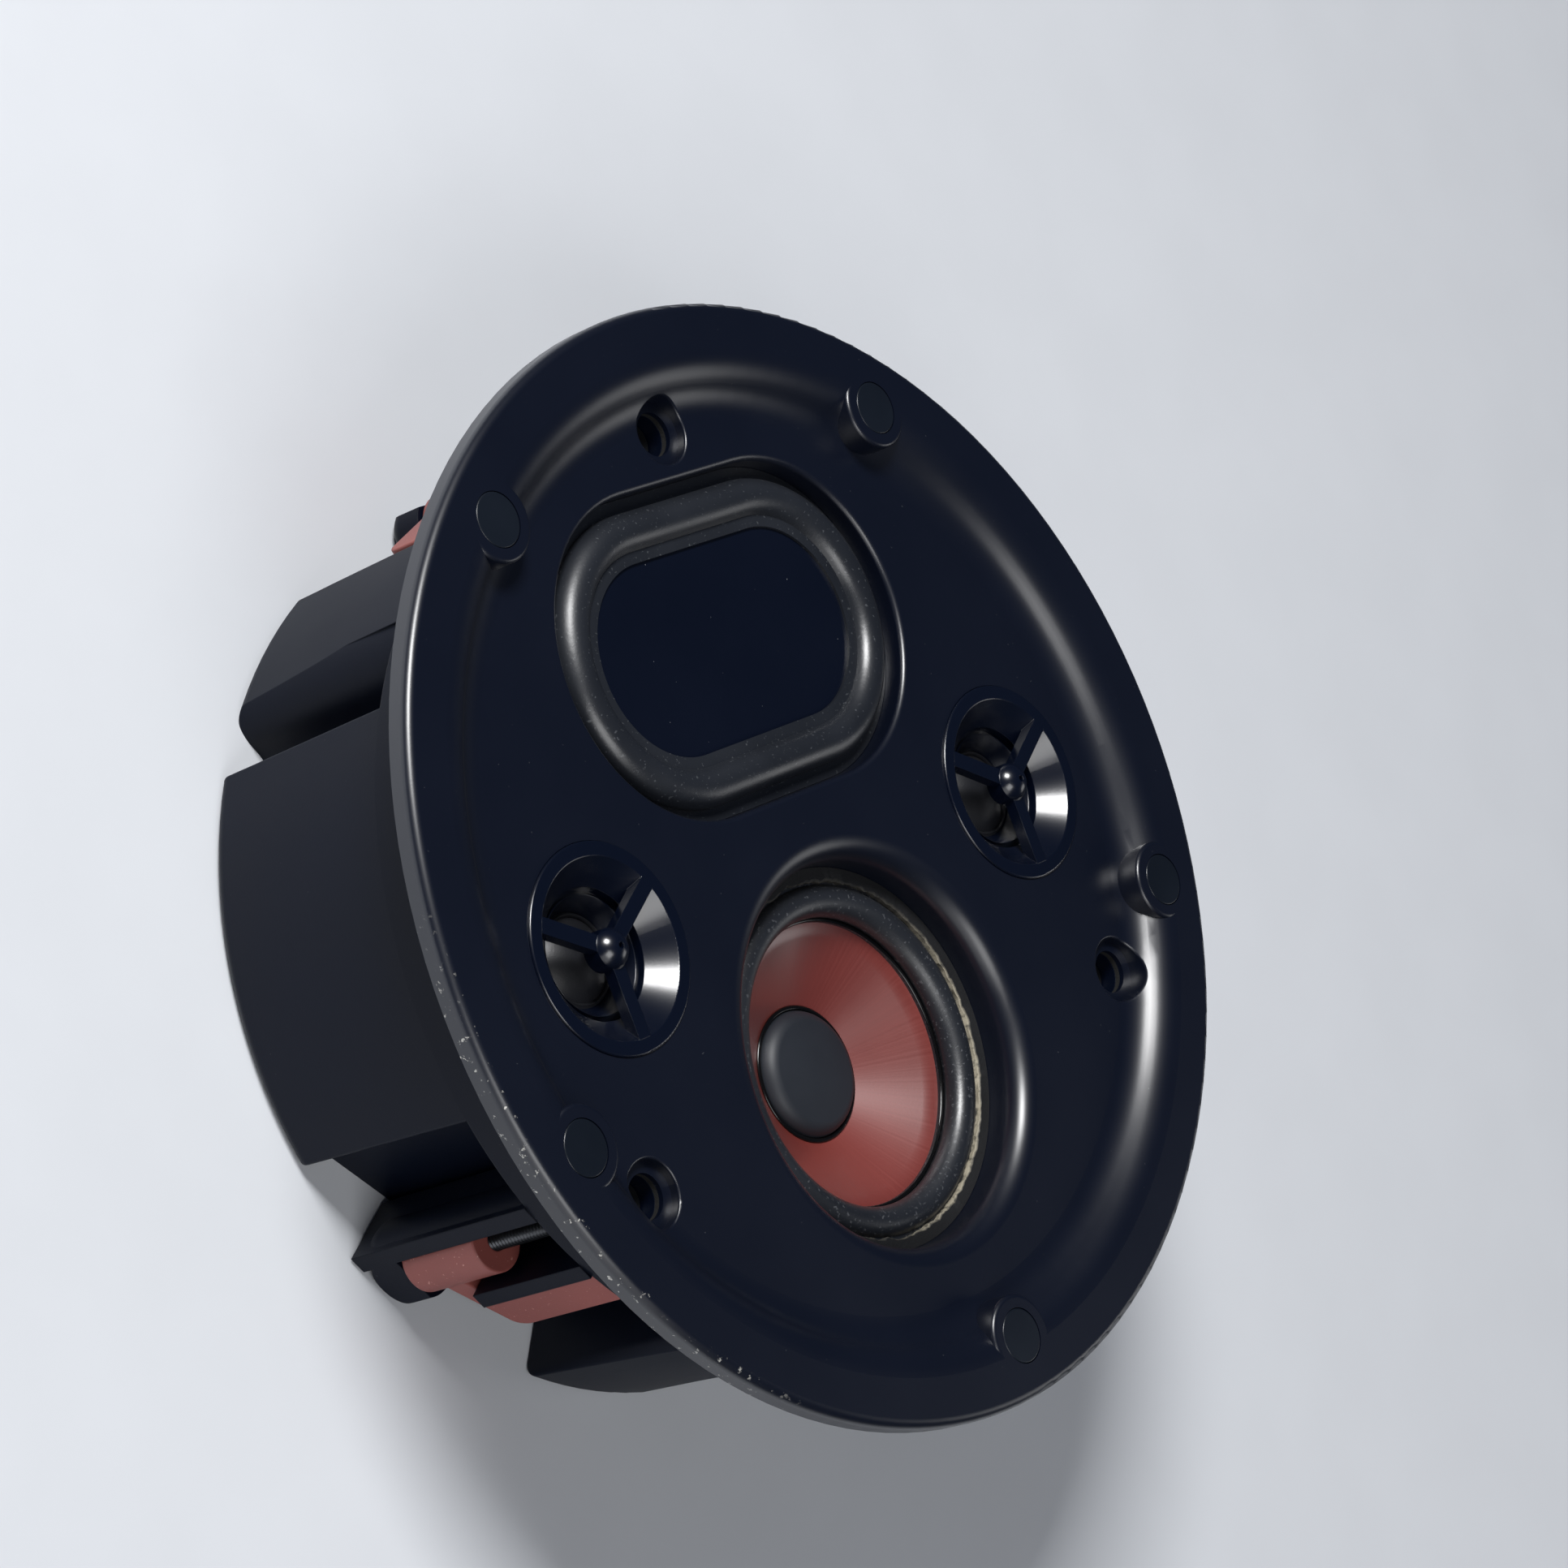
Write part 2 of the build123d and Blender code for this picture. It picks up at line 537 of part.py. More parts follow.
# Air inside the can, clear of the pocket walls and the pillars
with BuildPart() as can_air:
    turn(
        [
            (0, CAN_FLOOR_Z),
            (DRUM_BACK_R - CAN_WALL, CAN_FLOOR_Z),
            (CAN_IN_R, LEDGE_Z + CAN_WALL),
            (CAN_IN_R, CAN_RIM_Z),
            (0, CAN_RIM_Z),
        ]
    )
    for angle in CLAMP_ANGLES:
        pocket(angle, CAN_WALL, 0, LEDGE_Z + CAN_WALL, Mode.SUBTRACT)
        tube(0, PILLAR_R, LEDGE_Z, CAN_RIM_Z, *polar(CLAMP_R, angle), mode=Mode.SUBTRACT)
    for angle in NOTCH_ANGLES:
        notch(angle, CAN_WALL, 0, LEDGE_Z + CAN_WALL, Mode.SUBTRACT)
    for spot in CAN_SCREW_SPOTS:
        tube(0, CAN_BOSS_R, LEDGE_Z, CAN_BOSS_Z - SLIP, *polar(*spot), mode=Mode.SUBTRACT)

# Clamp tower at angle 0: guide with a long and a short rail, open on the swing side, with a closed end
with BuildPart() as clamp_tower:
    rounded_rod(TOWER_R, TOWER_ROUND, TOWER_END_Z, LEDGE_Z, CLAMP_R)
    block(CLAMP_R - TOWER_R, 0, 2 * TOWER_R, TOWER_R, TOWER_END_Z, LEDGE_Z)
    block(DRUM_R - RAIL_PROUD + TOWER_R, 0, 2 * TOWER_R, 4 * TOWER_R, 0, LEDGE_Z, mode=Mode.SUBTRACT)
    block(CLAMP_R, LONG_RAIL_Y, 2 * TOWER_R, LONG_RAIL_WIDE, TOWER_END_Z, LEDGE_Z)
    tube(0, CHANNEL_R, CAP_TOP_Z, LEDGE_Z, CLAMP_R, mode=Mode.SUBTRACT)
    with BuildSketch():
        with Locations((CLAMP_R - CHANNEL_R + RUNNING, 0)):
            Rectangle(2 * TOWER_R, 2 * TOWER_R, align=Align.MIN)
    extrude(amount=LEDGE_Z, mode=Mode.SUBTRACT)
    rounded_rod(CAP_R, CAP_ROUND, TOWER_END_Z, CAP_TOP_Z, CLAMP_R)
    block(DRUM_R + TOWER_R, 0, 2 * TOWER_R, 4 * TOWER_R, 0, LEDGE_Z, mode=Mode.SUBTRACT)
    with BuildSketch(Plane.XY.offset(RAIL_END_Z)):
        with BuildLine():
            Polyline(
                (DRUM_R, RAIL_LOW_Y),
                (CLAMP_R - CHANNEL_R, RAIL_LOW_Y),
                (CLAMP_R - CHANNEL_R, 0),
                (CLAMP_R - TOWER_R, 0),
                (CLAMP_R - TOWER_R, RAIL_HIGH_Y),
                (DRUM_R, RAIL_HIGH_Y),
                close=True,
            )
        make_face()
    extrude(amount=LEDGE_Z - RAIL_END_Z)

# Back can: a drum cut by three clamp pockets and three screw notches
with BuildPart() as back_can:
    with BuildSketch(Plane.XZ):
        with BuildLine():
            back = Line((0, 0), (DRUM_BACK_R - DRUM_ROUND, 0))
            corner = TangentArc(back @ 1, (DRUM_BACK_R, DRUM_ROUND), tangent=(1, 0))
            Polyline(corner @ 1, (DRUM_R, LEDGE_Z), (DRUM_R, CAN_RIM_Z), (0, CAN_RIM_Z), (0, 0))
        make_face()
    revolve(axis=Axis.Z)
    for angle in CLAMP_ANGLES:
        pocket(angle, 0, -PAST, LEDGE_Z, Mode.SUBTRACT)
    for angle in NOTCH_ANGLES:
        notch(angle, 0, -PAST, LEDGE_Z, Mode.SUBTRACT)
    fillet(back_can.edges().filter_by(lambda edge: UPRIGHT_LONG < edge.length < LEDGE_Z), CAN_EDGE)
    for angle in CLAMP_ANGLES:
        add(clamp_tower.part.rotate(Axis.Z, angle))
    add(can_air.part, mode=Mode.SUBTRACT)
    for angle in CLAMP_ANGLES:
        spot = polar(CLAMP_R, angle)
        tube(0, HEAD_BORE_R, CLAMP_SEAT_Z, CAN_RIM_Z, *spot, mode=Mode.SUBTRACT)
        tube(0, SHANK_BORE_R, CLAMP_TIP_Z - PAST, CAN_RIM_Z, *spot, mode=Mode.SUBTRACT)
    for spot in CAN_SCREW_SPOTS:
        tube(0, CAN_SHANK_R + SCREW_SLIP, LEDGE_Z, CAN_BOSS_Z, *polar(*spot), mode=Mode.SUBTRACT)
    # standoffs for the crossover, and the place of the terminals
    with BuildSketch(Plane.XY.offset(CAN_FLOOR_Z)):
        with Locations((0, BOARD_Y)):
            with GridLocations(BOARD_LONG - 2 * BOARD_HOLE_INSET, BOARD_WIDE - 2 * BOARD_HOLE_INSET, 2, 2):
                Circle(STANDOFF_R)
                Circle(BOARD_SCREW_R + SCREW_SLIP, mode=Mode.SUBTRACT)
    extrude(amount=STANDOFF_HIGH)
    with BuildSketch(Plane.XY.offset(CAN_FLOOR_Z)):
        with Locations((0, TERMINAL_Y)):
            with GridLocations(CUP_LONG + CUP_BORDER, CUP_WIDE + CUP_BORDER, 2, 2):
                Circle(CUP_BOSS_R)
    extrude(amount=CUP_BOSS_HIGH)
    with BuildSketch():
        with Locations((0, TERMINAL_Y)):
            RectangleRounded(CUP_LONG + 2 * CUP_BORDER + SLIP, CUP_WIDE + 2 * CUP_BORDER + SLIP, CUP_ROUND)
    extrude(amount=CUP_REBATE_Z, mode=Mode.SUBTRACT)
    block(0, TERMINAL_Y, CUP_LONG + SLIP, CUP_WIDE + SLIP, 0, CUP_DEEP, mode=Mode.SUBTRACT)
    with BuildSketch():
        with Locations((0, TERMINAL_Y)):
            with GridLocations(CUP_LONG + CUP_BORDER, CUP_WIDE + CUP_BORDER, 2, 2):
                Circle(CUP_SCREW_R + SCREW_SLIP)
    extrude(amount=CAN_FLOOR_Z + CUP_BOSS_HIGH - PAST, mode=Mode.SUBTRACT)
save(back_can, "back_can")

# Foam seal between the can and the frame, with an ear round each clamp screw
with BuildPart() as can_gasket:
    with BuildSketch(Plane.XY.offset(CAN_RIM_Z)):
        Circle(DRUM_R)
        Circle(CAN_IN_R, mode=Mode.SUBTRACT)
        with PolarLocations(CLAMP_R, CLAMP_COUNT, start_angle=CLAMP_START):
            Circle(PILLAR_R)
        Circle(DRUM_R, mode=Mode.INTERSECT)
        with PolarLocations(CLAMP_R, CLAMP_COUNT, start_angle=CLAMP_START):
            Circle(HEAD_BORE_R, mode=Mode.SUBTRACT)
    extrude(amount=GASKET_THICK)
save(can_gasket, "can_gasket")

with BuildPart() as can_screws:
    for spot in CAN_SCREW_SPOTS:
        pan_screw(*polar(*spot), LEDGE_Z, CAN_SCREW_TOP_Z, CAN_HEAD_R, CAN_HEAD_THICK, CAN_SHANK_R, up=False)
save(can_screws, "can_screws")

# Clamp screws, and the dog-leg clamps parked at their back end with the arms folded in
for number, angle in enumerate(CLAMP_ANGLES, start=1):
    spot = polar(CLAMP_R, angle)
    with BuildPart() as clamp_screw:
        pan_screw(*spot, CLAMP_SEAT_Z, CLAMP_TIP_Z, CLAMP_HEAD_R, CLAMP_HEAD_THICK, CLAMP_SCREW_R)
        with BuildSketch(facing(angle, CLAMP_SEAT_Z + CLAMP_HEAD_THICK)):
            with Locations((CLAMP_R, 0)):
                Rectangle(2 * DRIVE_R, DRIVE_R / 2)
                Rectangle(DRIVE_R / 2, 2 * DRIVE_R)
        extrude(amount=-DRIVE_DEEP, mode=Mode.SUBTRACT)
    save(clamp_screw, f"clamp_screw_{number}")

    with BuildPart() as clamp:
        tube(0, BARREL_R, BARREL_LOW_Z, BARREL_LOW_Z + BARREL_LONG, *spot)
        outward = polar(1, angle + ARM_TURN - 90)
        along = polar(1, angle + ARM_TURN)
        start = spot[0] + ARM_INNER * outward[0], spot[1] + ARM_INNER * outward[1], 0
        with BuildSketch(Plane(origin=start, x_dir=(*along, 0), z_dir=(*outward, 0))):
            with BuildLine():
                low_edge = Line((0, ARM_LOW_Z), (ARM_LONG - ARM_ROUND, ARM_LOW_Z))
                heel = TangentArc(low_edge @ 1, (ARM_LONG, ARM_LOW_Z + ARM_ROUND), tangent=(1, 0))
                Polyline(
                    heel @ 1,
                    (ARM_LONG, ARM_TOP_Z),
                    (ARM_FOOT, ARM_TOP_Z),
                    (ARM_FOOT, WEB_TOP_Z),
                    (0, WEB_TOP_Z),
                    (0, ARM_LOW_Z),
                )
            make_face()
        extrude(amount=ARM_THICK)
        fillet(clamp.edges(), CLAMP_EDGE)
        tube(0, SHANK_BORE_R, 0, RIM_Z, *spot, mode=Mode.SUBTRACT)
    save(clamp, f"clamp_{number}")

# Woofer basket: front flange, slanted wall with windows, spider ledge and foot
with BuildPart() as woofer_basket:
    wall_in = BASKET_INNER_R + BASKET_THICK
    ledge_r = SPIDER_R + BASKET_THICK / 2
    turn(
        [
            (BASKET_INNER_R, WOOFER_SEAT_Z),
            (BASKET_R, WOOFER_SEAT_Z),
            (BASKET_R, WOOFER_SEAT_Z - BASKET_THICK),
            (wall_in + BASKET_THICK, WOOFER_SEAT_Z - BASKET_THICK),
            (ledge_r + BASKET_THICK, SPIDER_SEAT_Z - BASKET_THICK),
            (BASKET_FOOT_R, SPIDER_SEAT_Z - BASKET_THICK),
            (BASKET_FOOT_R, PLATE_TOP_Z),
            (PLATE_BORE_R + BASKET_THICK, PLATE_TOP_Z),
            (PLATE_BORE_R + BASKET_THICK, PLATE_TOP_Z + BASKET_THICK),
            (BASKET_FOOT_R - BASKET_THICK, PLATE_TOP_Z + BASKET_THICK),
            (BASKET_FOOT_R - BASKET_THICK, SPIDER_SEAT_Z),
            (ledge_r, SPIDER_SEAT_Z),
            (wall_in, WOOFER_SEAT_Z - BASKET_THICK),
            (BASKET_INNER_R, WOOFER_SEAT_Z - BASKET_THICK),
        ],
        y=WOOFER_Y,
    )
    with BuildSketch(Plane.XY.offset((WOOFER_SEAT_Z + SPIDER_SEAT_Z - WINDOW_HIGH) / 2)):
        with Locations((0, WOOFER_Y)):
            with PolarLocations(ledge_r, WINDOW_COUNT):
                Rectangle(2 * (BASKET_R - ledge_r), WINDOW_WIDE)
    extrude(amount=WINDOW_HIGH, mode=Mode.SUBTRACT)
    with BuildSketch(Plane.XY.offset(WOOFER_SEAT_Z - BASKET_THICK)):
        with Locations((0, WOOFER_Y)):
            with PolarLocations(WOOFER_SCREW_RING_R, WOOFER_SCREW_COUNT, start_angle=WOOFER_SCREW_START):
                Circle(WOOFER_SCREW_R + SCREW_SLIP)
    extrude(amount=BASKET_THICK, mode=Mode.SUBTRACT)
save(woofer_basket, "woofer_basket")

with BuildPart() as woofer_screws:
    for n in range(WOOFER_SCREW_COUNT):
        x, y = polar(WOOFER_SCREW_RING_R, WOOFER_SCREW_START + 360 / WOOFER_SCREW_COUNT * n)
        seat = WOOFER_SEAT_Z - BASKET_THICK
        tip = seat + WOOFER_SCREW_LONG
        pan_screw(x, y + WOOFER_Y, seat, tip, WOOFER_HEAD_R, WOOFER_HEAD_THICK, WOOFER_SCREW_R, up=False)
save(woofer_screws, "woofer_screws")

# Half-roll rubber edge of the cone
with BuildPart() as woofer_surround:
    flange_top = WOOFER_SEAT_Z + RUBBER
    foot_top = CONE_EDGE_Z + RUBBER
    roll_middle = (ROLL_IN_R + ROLL_OUT_R) / 2
    with BuildSketch(upright(0, WOOFER_Y)) as section:
        with BuildLine():
            over = ThreePointArc(
                (ROLL_IN_R - RUBBER, foot_top),
                (roll_middle, flange_top + ROLL_HIGH),
                (ROLL_OUT_R, flange_top),
            )
            Polyline(
                over @ 1,
                (MOUTH_R - SLIP, flange_top),
                (MOUTH_R - SLIP, WOOFER_SEAT_Z),
                (ROLL_OUT_R - RUBBER, WOOFER_SEAT_Z),
            )
            ThreePointArc(
                (ROLL_OUT_R - RUBBER, WOOFER_SEAT_Z),
                (roll_middle, flange_top + ROLL_HIGH - RUBBER),
                (ROLL_IN_R, CONE_EDGE_Z),
            )
            Polyline(
                (ROLL_IN_R, CONE_EDGE_Z),
                (CONE_R - RUBBER, CONE_EDGE_Z),
                (CONE_R - RUBBER, foot_top),
                over @ 0,
            )
        make_face()
    revolve(section.sketch, axis=Axis((0, WOOFER_Y, 0), (0, 0, 1)))
save(woofer_surround, "woofer_surround")

with BuildPart() as woofer_gasket:
    low = WOOFER_SEAT_Z + RUBBER
    tube(MOUTH_R - WOOFER_GASKET_WIDE, MOUTH_R - SLIP, low, low + WOOFER_GASKET_THICK, y=WOOFER_Y)
save(woofer_gasket, "woofer_gasket")

# Cone, with a flat edge under the surround's foot
with BuildPart() as woofer_cone:
    turn(
        [
            (FORMER_R, CONE_NECK_Z),
            (FORMER_R, CONE_NECK_Z - PAPER),
            (CONE_R, CONE_EDGE_Z - PAPER),
            (ROLL_IN_R, CONE_EDGE_Z - PAPER),
            (ROLL_IN_R, CONE_EDGE_Z),
            (CONE_R - PAPER, CONE_EDGE_Z),
        ],
        y=WOOFER_Y,
    )
save(woofer_cone, "woofer_cone")

with BuildPart() as woofer_dust_cap:
    with BuildSketch(upright(0, WOOFER_Y)) as section:
        face_z = CONE_NECK_Z + CAP_HIGH
        with BuildLine():
            bend = TangentArc((FORMER_R, CONE_NECK_Z), (CAP_FACE_R, face_z), tangent=(0, 1))
            inside = Polyline(bend @ 1, (0, face_z), (0, face_z - PAPER), (CAP_FACE_R, face_z - PAPER))
            Polyline(inside @ 1, (FORMER_R - PAPER, CONE_NECK_Z), bend @ 0)
        make_face()
    revolve(section.sketch, axis=Axis((0, WOOFER_Y, 0), (0, 0, 1)))
save(woofer_dust_cap, "woofer_dust_cap")

with BuildPart() as woofer_voice_coil:
    wire_low = PLATE_TOP_Z - WIRE_DROP
    tube(COIL_IN_R, FORMER_R, PLATE_TOP_Z - COIL_DROP, CONE_NECK_Z, y=WOOFER_Y)
    tube(FORMER_R, FORMER_R + COIL_WIRE, wire_low, wire_low + WIRE_LONG, y=WOOFER_Y)
save(woofer_voice_coil, "woofer_voice_coil")

# Corrugated cloth disc that centres the coil
with BuildPart() as woofer_spider:
    flat = 2 * BASKET_THICK
    pitch = (SPIDER_R - flat - FORMER_R - BASKET_THICK) / SPIDER_WAVES / 2
    heights = [SPIDER_SEAT_Z, SPIDER_SEAT_Z + pitch]
    ridge = [(FORMER_R + BASKET_THICK + pitch * n, heights[n % 2]) for n in range(2 * SPIDER_WAVES + 1)]
    below = [(FORMER_R, SPIDER_SEAT_Z), *ridge, (SPIDER_R, SPIDER_SEAT_Z)]
    turn([*below, *((r, z + SILK) for r, z in reversed(below))], y=WOOFER_Y)
save(woofer_spider, "woofer_spider")

# Woofer motor, stacked under the basket's foot
with BuildPart() as woofer_top_plate:
    tube(PLATE_BORE_R, PLATE_R, MAGNET_TOP_Z, PLATE_TOP_Z, y=WOOFER_Y)
save(woofer_top_plate, "woofer_top_plate")

with BuildPart() as woofer_magnet:
    tube(WOOFER_MAGNET_BORE_R, PLATE_R + WOOFER_MAGNET_LAP, YOKE_TOP_Z, MAGNET_TOP_Z, y=WOOFER_Y)
save(woofer_magnet, "woofer_magnet")

with BuildPart() as woofer_yoke:
    tube(POLE_VENT_R, PLATE_R, YOKE_TOP_Z - YOKE_THICK, YOKE_TOP_Z, y=WOOFER_Y)
    tube(POLE_VENT_R, POLE_R, YOKE_TOP_Z, PLATE_TOP_Z, y=WOOFER_Y)
save(woofer_yoke, "woofer_yoke")

# Passive radiator: flat plate, half-roll surround and a tuning weight behind
with BuildPart() as passive_plate:
    obround(PASSIVE_RING_WIDE - FOOT_WIDE, PASSIVE_FACE_Z - PASSIVE_PLATE_THICK, PASSIVE_FACE_Z)
save(passive_plate, "passive_plate")

with BuildPart() as passive_surround:
    end_r = PASSIVE_WIDE / 2
    end_x = (PASSIVE_LONG - PASSIVE_WIDE) / 2
    foot_in = end_r - PASSIVE_RING_WIDE
    roll_in = foot_in + FOOT_WIDE
    roll_out = end_r - PASSIVE_FLANGE_WIDE
    crest_r = (roll_in + roll_out) / 2
    crest_z = PASSIVE_FACE_Z + PASSIVE_ROLL_HIGH
    across = Plane(origin=(end_x, PASSIVE_Y, 0), x_dir=(0, 1, 0), z_dir=(1, 0, 0))
    with BuildSketch(across) as section:
        with BuildLine():
            over = ThreePointArc(
                (roll_in, PASSIVE_FACE_Z + RUBBER), (crest_r, crest_z), (roll_out, WELL_FLANGE_Z)
            )
            Polyline(
                over @ 1,
                (end_r - SLIP, WELL_FLANGE_Z),
                (end_r - SLIP, WELL_LEDGE_Z),
                (roll_out - RUBBER, WELL_LEDGE_Z),
            )
            ThreePointArc(
                (roll_out - RUBBER, WELL_LEDGE_Z), (crest_r, crest_z - RUBBER), (roll_in, PASSIVE_FACE_Z)
            )
            Polyline(
                (roll_in, PASSIVE_FACE_Z),
                (foot_in, PASSIVE_FACE_Z),
                (foot_in, PASSIVE_FACE_Z + RUBBER),
                over @ 0,
            )
        make_face()
    extrude(section.sketch, amount=-2 * end_x)
    revolve(section.sketch, axis=Axis((end_x, PASSIVE_Y, 0), (0, 0, -1)), revolution_arc=180)
    mirror(about=Plane(origin=(0, PASSIVE_Y, 0), z_dir=(0, 1, 0)))
    mirror(about=Plane.YZ)
save(passive_surround, "passive_surround")

with BuildPart() as passive_weight:
    back = PASSIVE_FACE_Z - PASSIVE_PLATE_THICK
    tube(0, WEIGHT_R, back - WEIGHT_THICK, back, y=PASSIVE_Y)
save(passive_weight, "passive_weight")

# Tweeters: horn with an inner dish, three arms and a bullet, dome on its suspension, and a small motor
for number, x in enumerate((-TWEETER_X, TWEETER_X), start=1):
    with BuildPart() as tweeter_guard:
        turn(
            [
                (GUARD_R, GUARD_TOP_Z),
                (GUARD_R, GUARD_TOP_Z - GUARD_FLANGE),
                (GUARD_BODY_R, GUARD_TOP_Z - GUARD_FLANGE),
                (GUARD_BODY_R, SUSPENSION_Z),
                (DISH_IN_R, SUSPENSION_Z),
                (DISH_R, DISH_Z),
                (DISH_R, DISH_Z - GROOVE_DEEP),
                (THROAT_R, DISH_Z - GROOVE_DEEP),
                (THROAT_R, THROAT_Z),
                (HORN_R, GUARD_TOP_Z),
            ],
            x,
        )
        fillet(tweeter_guard.edges().filter_by_position(Axis.Z, GUARD_TOP_Z, GUARD_TOP_Z), GUARD_EDGE)
        with BuildSketch(Plane.XY.offset(GUARD_TOP_Z - GUARD_ARM_THICK)) as arms:
            with Locations((x, 0)):
                with PolarLocations(HORN_R / 2, GUARD_ARM_COUNT, start_angle=GUARD_ARM_START):
                    Rectangle(HORN_R, GUARD_ARM_WIDE)
        extrude(arms.sketch, amount=GUARD_ARM_THICK)
        with BuildSketch(upright(x)) as bullet:
            with BuildLine():
                nose = TangentArc((0, GUARD_TOP_Z + BULLET_HIGH), (BULLET_R, GUARD_TOP_Z), tangent=(1, 0))
                back = GUARD_TOP_Z - BULLET_DROP
                Polyline(nose @ 1, (BULLET_R, back), (0, back), nose @ 0)
            make_face()
        revolve(bullet.sketch, axis=Axis((x, 0, 0), (0, 0, 1)))
        tube(0, BULLET_HOLE_R, GUARD_TOP_Z, GUARD_TOP_Z + BULLET_HIGH, x, mode=Mode.SUBTRACT)
    save(tweeter_guard, f"tweeter_guard_{number}")

    with BuildPart() as tweeter_dome:
        with BuildSketch(upright(x)) as section:
            with BuildLine():
                crown = TangentArc((0, SUSPENSION_Z + DOME_HIGH), (DOME_R, SUSPENSION_Z), tangent=(1, 0))
                Polyline(crown @ 1, (DOME_R - 2 * SILK, SUSPENSION_Z))
                TangentArc(
                    (0, SUSPENSION_Z + DOME_HIGH - SILK), (DOME_R - 2 * SILK, SUSPENSION_Z), tangent=(1, 0)
                )
                Line((0, SUSPENSION_Z + DOME_HIGH - SILK), crown @ 0)
            make_face()
        revolve(section.sketch, axis=Axis((x, 0, 0), (0, 0, 1)))
    save(tweeter_dome, f"tweeter_dome_{number}")

    with BuildPart() as tweeter_suspension:
        roll_middle = (DOME_R + DISH_IN_R) / 2
        roll_high = DISH_IN_R - roll_middle
        turn(
            [
                (DOME_R, SUSPENSION_Z),
                (roll_middle, SUSPENSION_Z + roll_high),
                (DISH_IN_R, SUSPENSION_Z),
                (SUSPENSION_R, SUSPENSION_Z),
                (SUSPENSION_R, FRONT_PLATE_Z),
                (DISH_IN_R, FRONT_PLATE_Z),
                (roll_middle, FRONT_PLATE_Z + roll_high),
                (DOME_R, FRONT_PLATE_Z),
            ],
            x,
        )
    save(tweeter_suspension, f"tweeter_suspension_{number}")

    coil_in = DOME_R - SILK - TWEETER_COIL_WALL
    with BuildPart() as tweeter_coil:
        tube(coil_in, DOME_R - SILK, SUSPENSION_Z - TWEETER_COIL_LONG, SUSPENSION_Z, x)
    save(tweeter_coil, f"tweeter_coil_{number}")

    pot_top = FRONT_PLATE_Z - FRONT_PLATE_THICK
    slug_low = FRONT_PLATE_Z - SLUG_DROP - SLUG_THICK
    slug_r = coil_in - SLUG_GAP
    pot_floor = slug_low - NEO_THICK
    with BuildPart() as tweeter_front_plate:
        tube(DOME_R + FRONT_PLATE_GAP, FRONT_PLATE_R, pot_top, FRONT_PLATE_Z, x)
    save(tweeter_front_plate, f"tweeter_front_plate_{number}")

    with BuildPart() as tweeter_slug:
        tube(0, slug_r, slug_low, slug_low + SLUG_THICK, x)
    save(tweeter_slug, f"tweeter_slug_{number}")

    with BuildPart() as tweeter_magnet:
        tube(0, slug_r - NEO_INSET, pot_floor, slug_low, x)
    save(tweeter_magnet, f"tweeter_magnet_{number}")

    with BuildPart() as tweeter_pot:
        turn(
            [
                (0, pot_floor),
                (POT_R - POT_WALL, pot_floor),
                (POT_R - POT_WALL, pot_top),
                (POT_R, pot_top),
                (POT_R, pot_floor - POT_FLOOR),
                (0, pot_floor - POT_FLOOR),
            ],
            x,
        )
    save(tweeter_pot, f"tweeter_pot_{number}")

# Crossover on the can's floor
with BuildPart() as crossover_board:
    with BuildSketch(Plane.XY.offset(BOARD_Z)):
        with Locations((0, BOARD_Y)):
            Rectangle(BOARD_LONG, BOARD_WIDE)
            with GridLocations(BOARD_LONG - 2 * BOARD_HOLE_INSET, BOARD_WIDE - 2 * BOARD_HOLE_INSET, 2, 2):
                Circle(BOARD_SCREW_R + SCREW_SLIP, mode=Mode.SUBTRACT)
    extrude(amount=BOARD_THICK)
save(crossover_board, "crossover_board")

with BuildPart() as crossover_screws:
    for x in (BOARD_HOLE_INSET - BOARD_LONG / 2, BOARD_LONG / 2 - BOARD_HOLE_INSET):
        for y in (BOARD_HOLE_INSET - BOARD_WIDE / 2, BOARD_WIDE / 2 - BOARD_HOLE_INSET):
            tip = BOARD_TOP_Z - BOARD_SCREW_LONG
            pan_screw(x, y + BOARD_Y, BOARD_TOP_Z, tip, BOARD_HEAD_R, BOARD_HEAD_THICK, BOARD_SCREW_R)
save(crossover_screws, "crossover_screws")

with BuildPart() as crossover_inductors:
    for x in (-COIL_X, COIL_X):
        turn(
            [
                (COIL_CORE_R, BOARD_TOP_Z),
                (COIL_FLANGE_R, BOARD_TOP_Z),
                (COIL_FLANGE_R, BOARD_TOP_Z + COIL_FLANGE),
                (COIL_WOUND_R, BOARD_TOP_Z + COIL_FLANGE),
                (COIL_WOUND_R, BOARD_TOP_Z + COIL_HIGH - COIL_FLANGE),
                (COIL_FLANGE_R, BOARD_TOP_Z + COIL_HIGH - COIL_FLANGE),
                (COIL_FLANGE_R, BOARD_TOP_Z + COIL_HIGH),
                (COIL_CORE_R, BOARD_TOP_Z + COIL_HIGH),
            ],
            x,
            BOARD_Y,
        )
save(crossover_inductors, "crossover_inductors")

with BuildPart() as crossover_capacitors:
    with BuildSketch(Plane.XZ.offset(-BOARD_Y - CAPACITOR_LONG / 2)):
        with Locations((0, BOARD_TOP_Z + CAPACITOR_R)):
            with GridLocations(CAPACITOR_PITCH, 1, 2, 1):
                Circle(CAPACITOR_R)
    extrude(amount=CAPACITOR_LONG)
save(crossover_capacitors, "crossover_capacitors")

with BuildPart() as crossover_resistor:
    block(RESISTOR_X, BOARD_Y, RESISTOR_WIDE, RESISTOR_LONG, BOARD_TOP_Z, BOARD_TOP_Z + RESISTOR_WIDE)
save(crossover_resistor, "crossover_resistor")

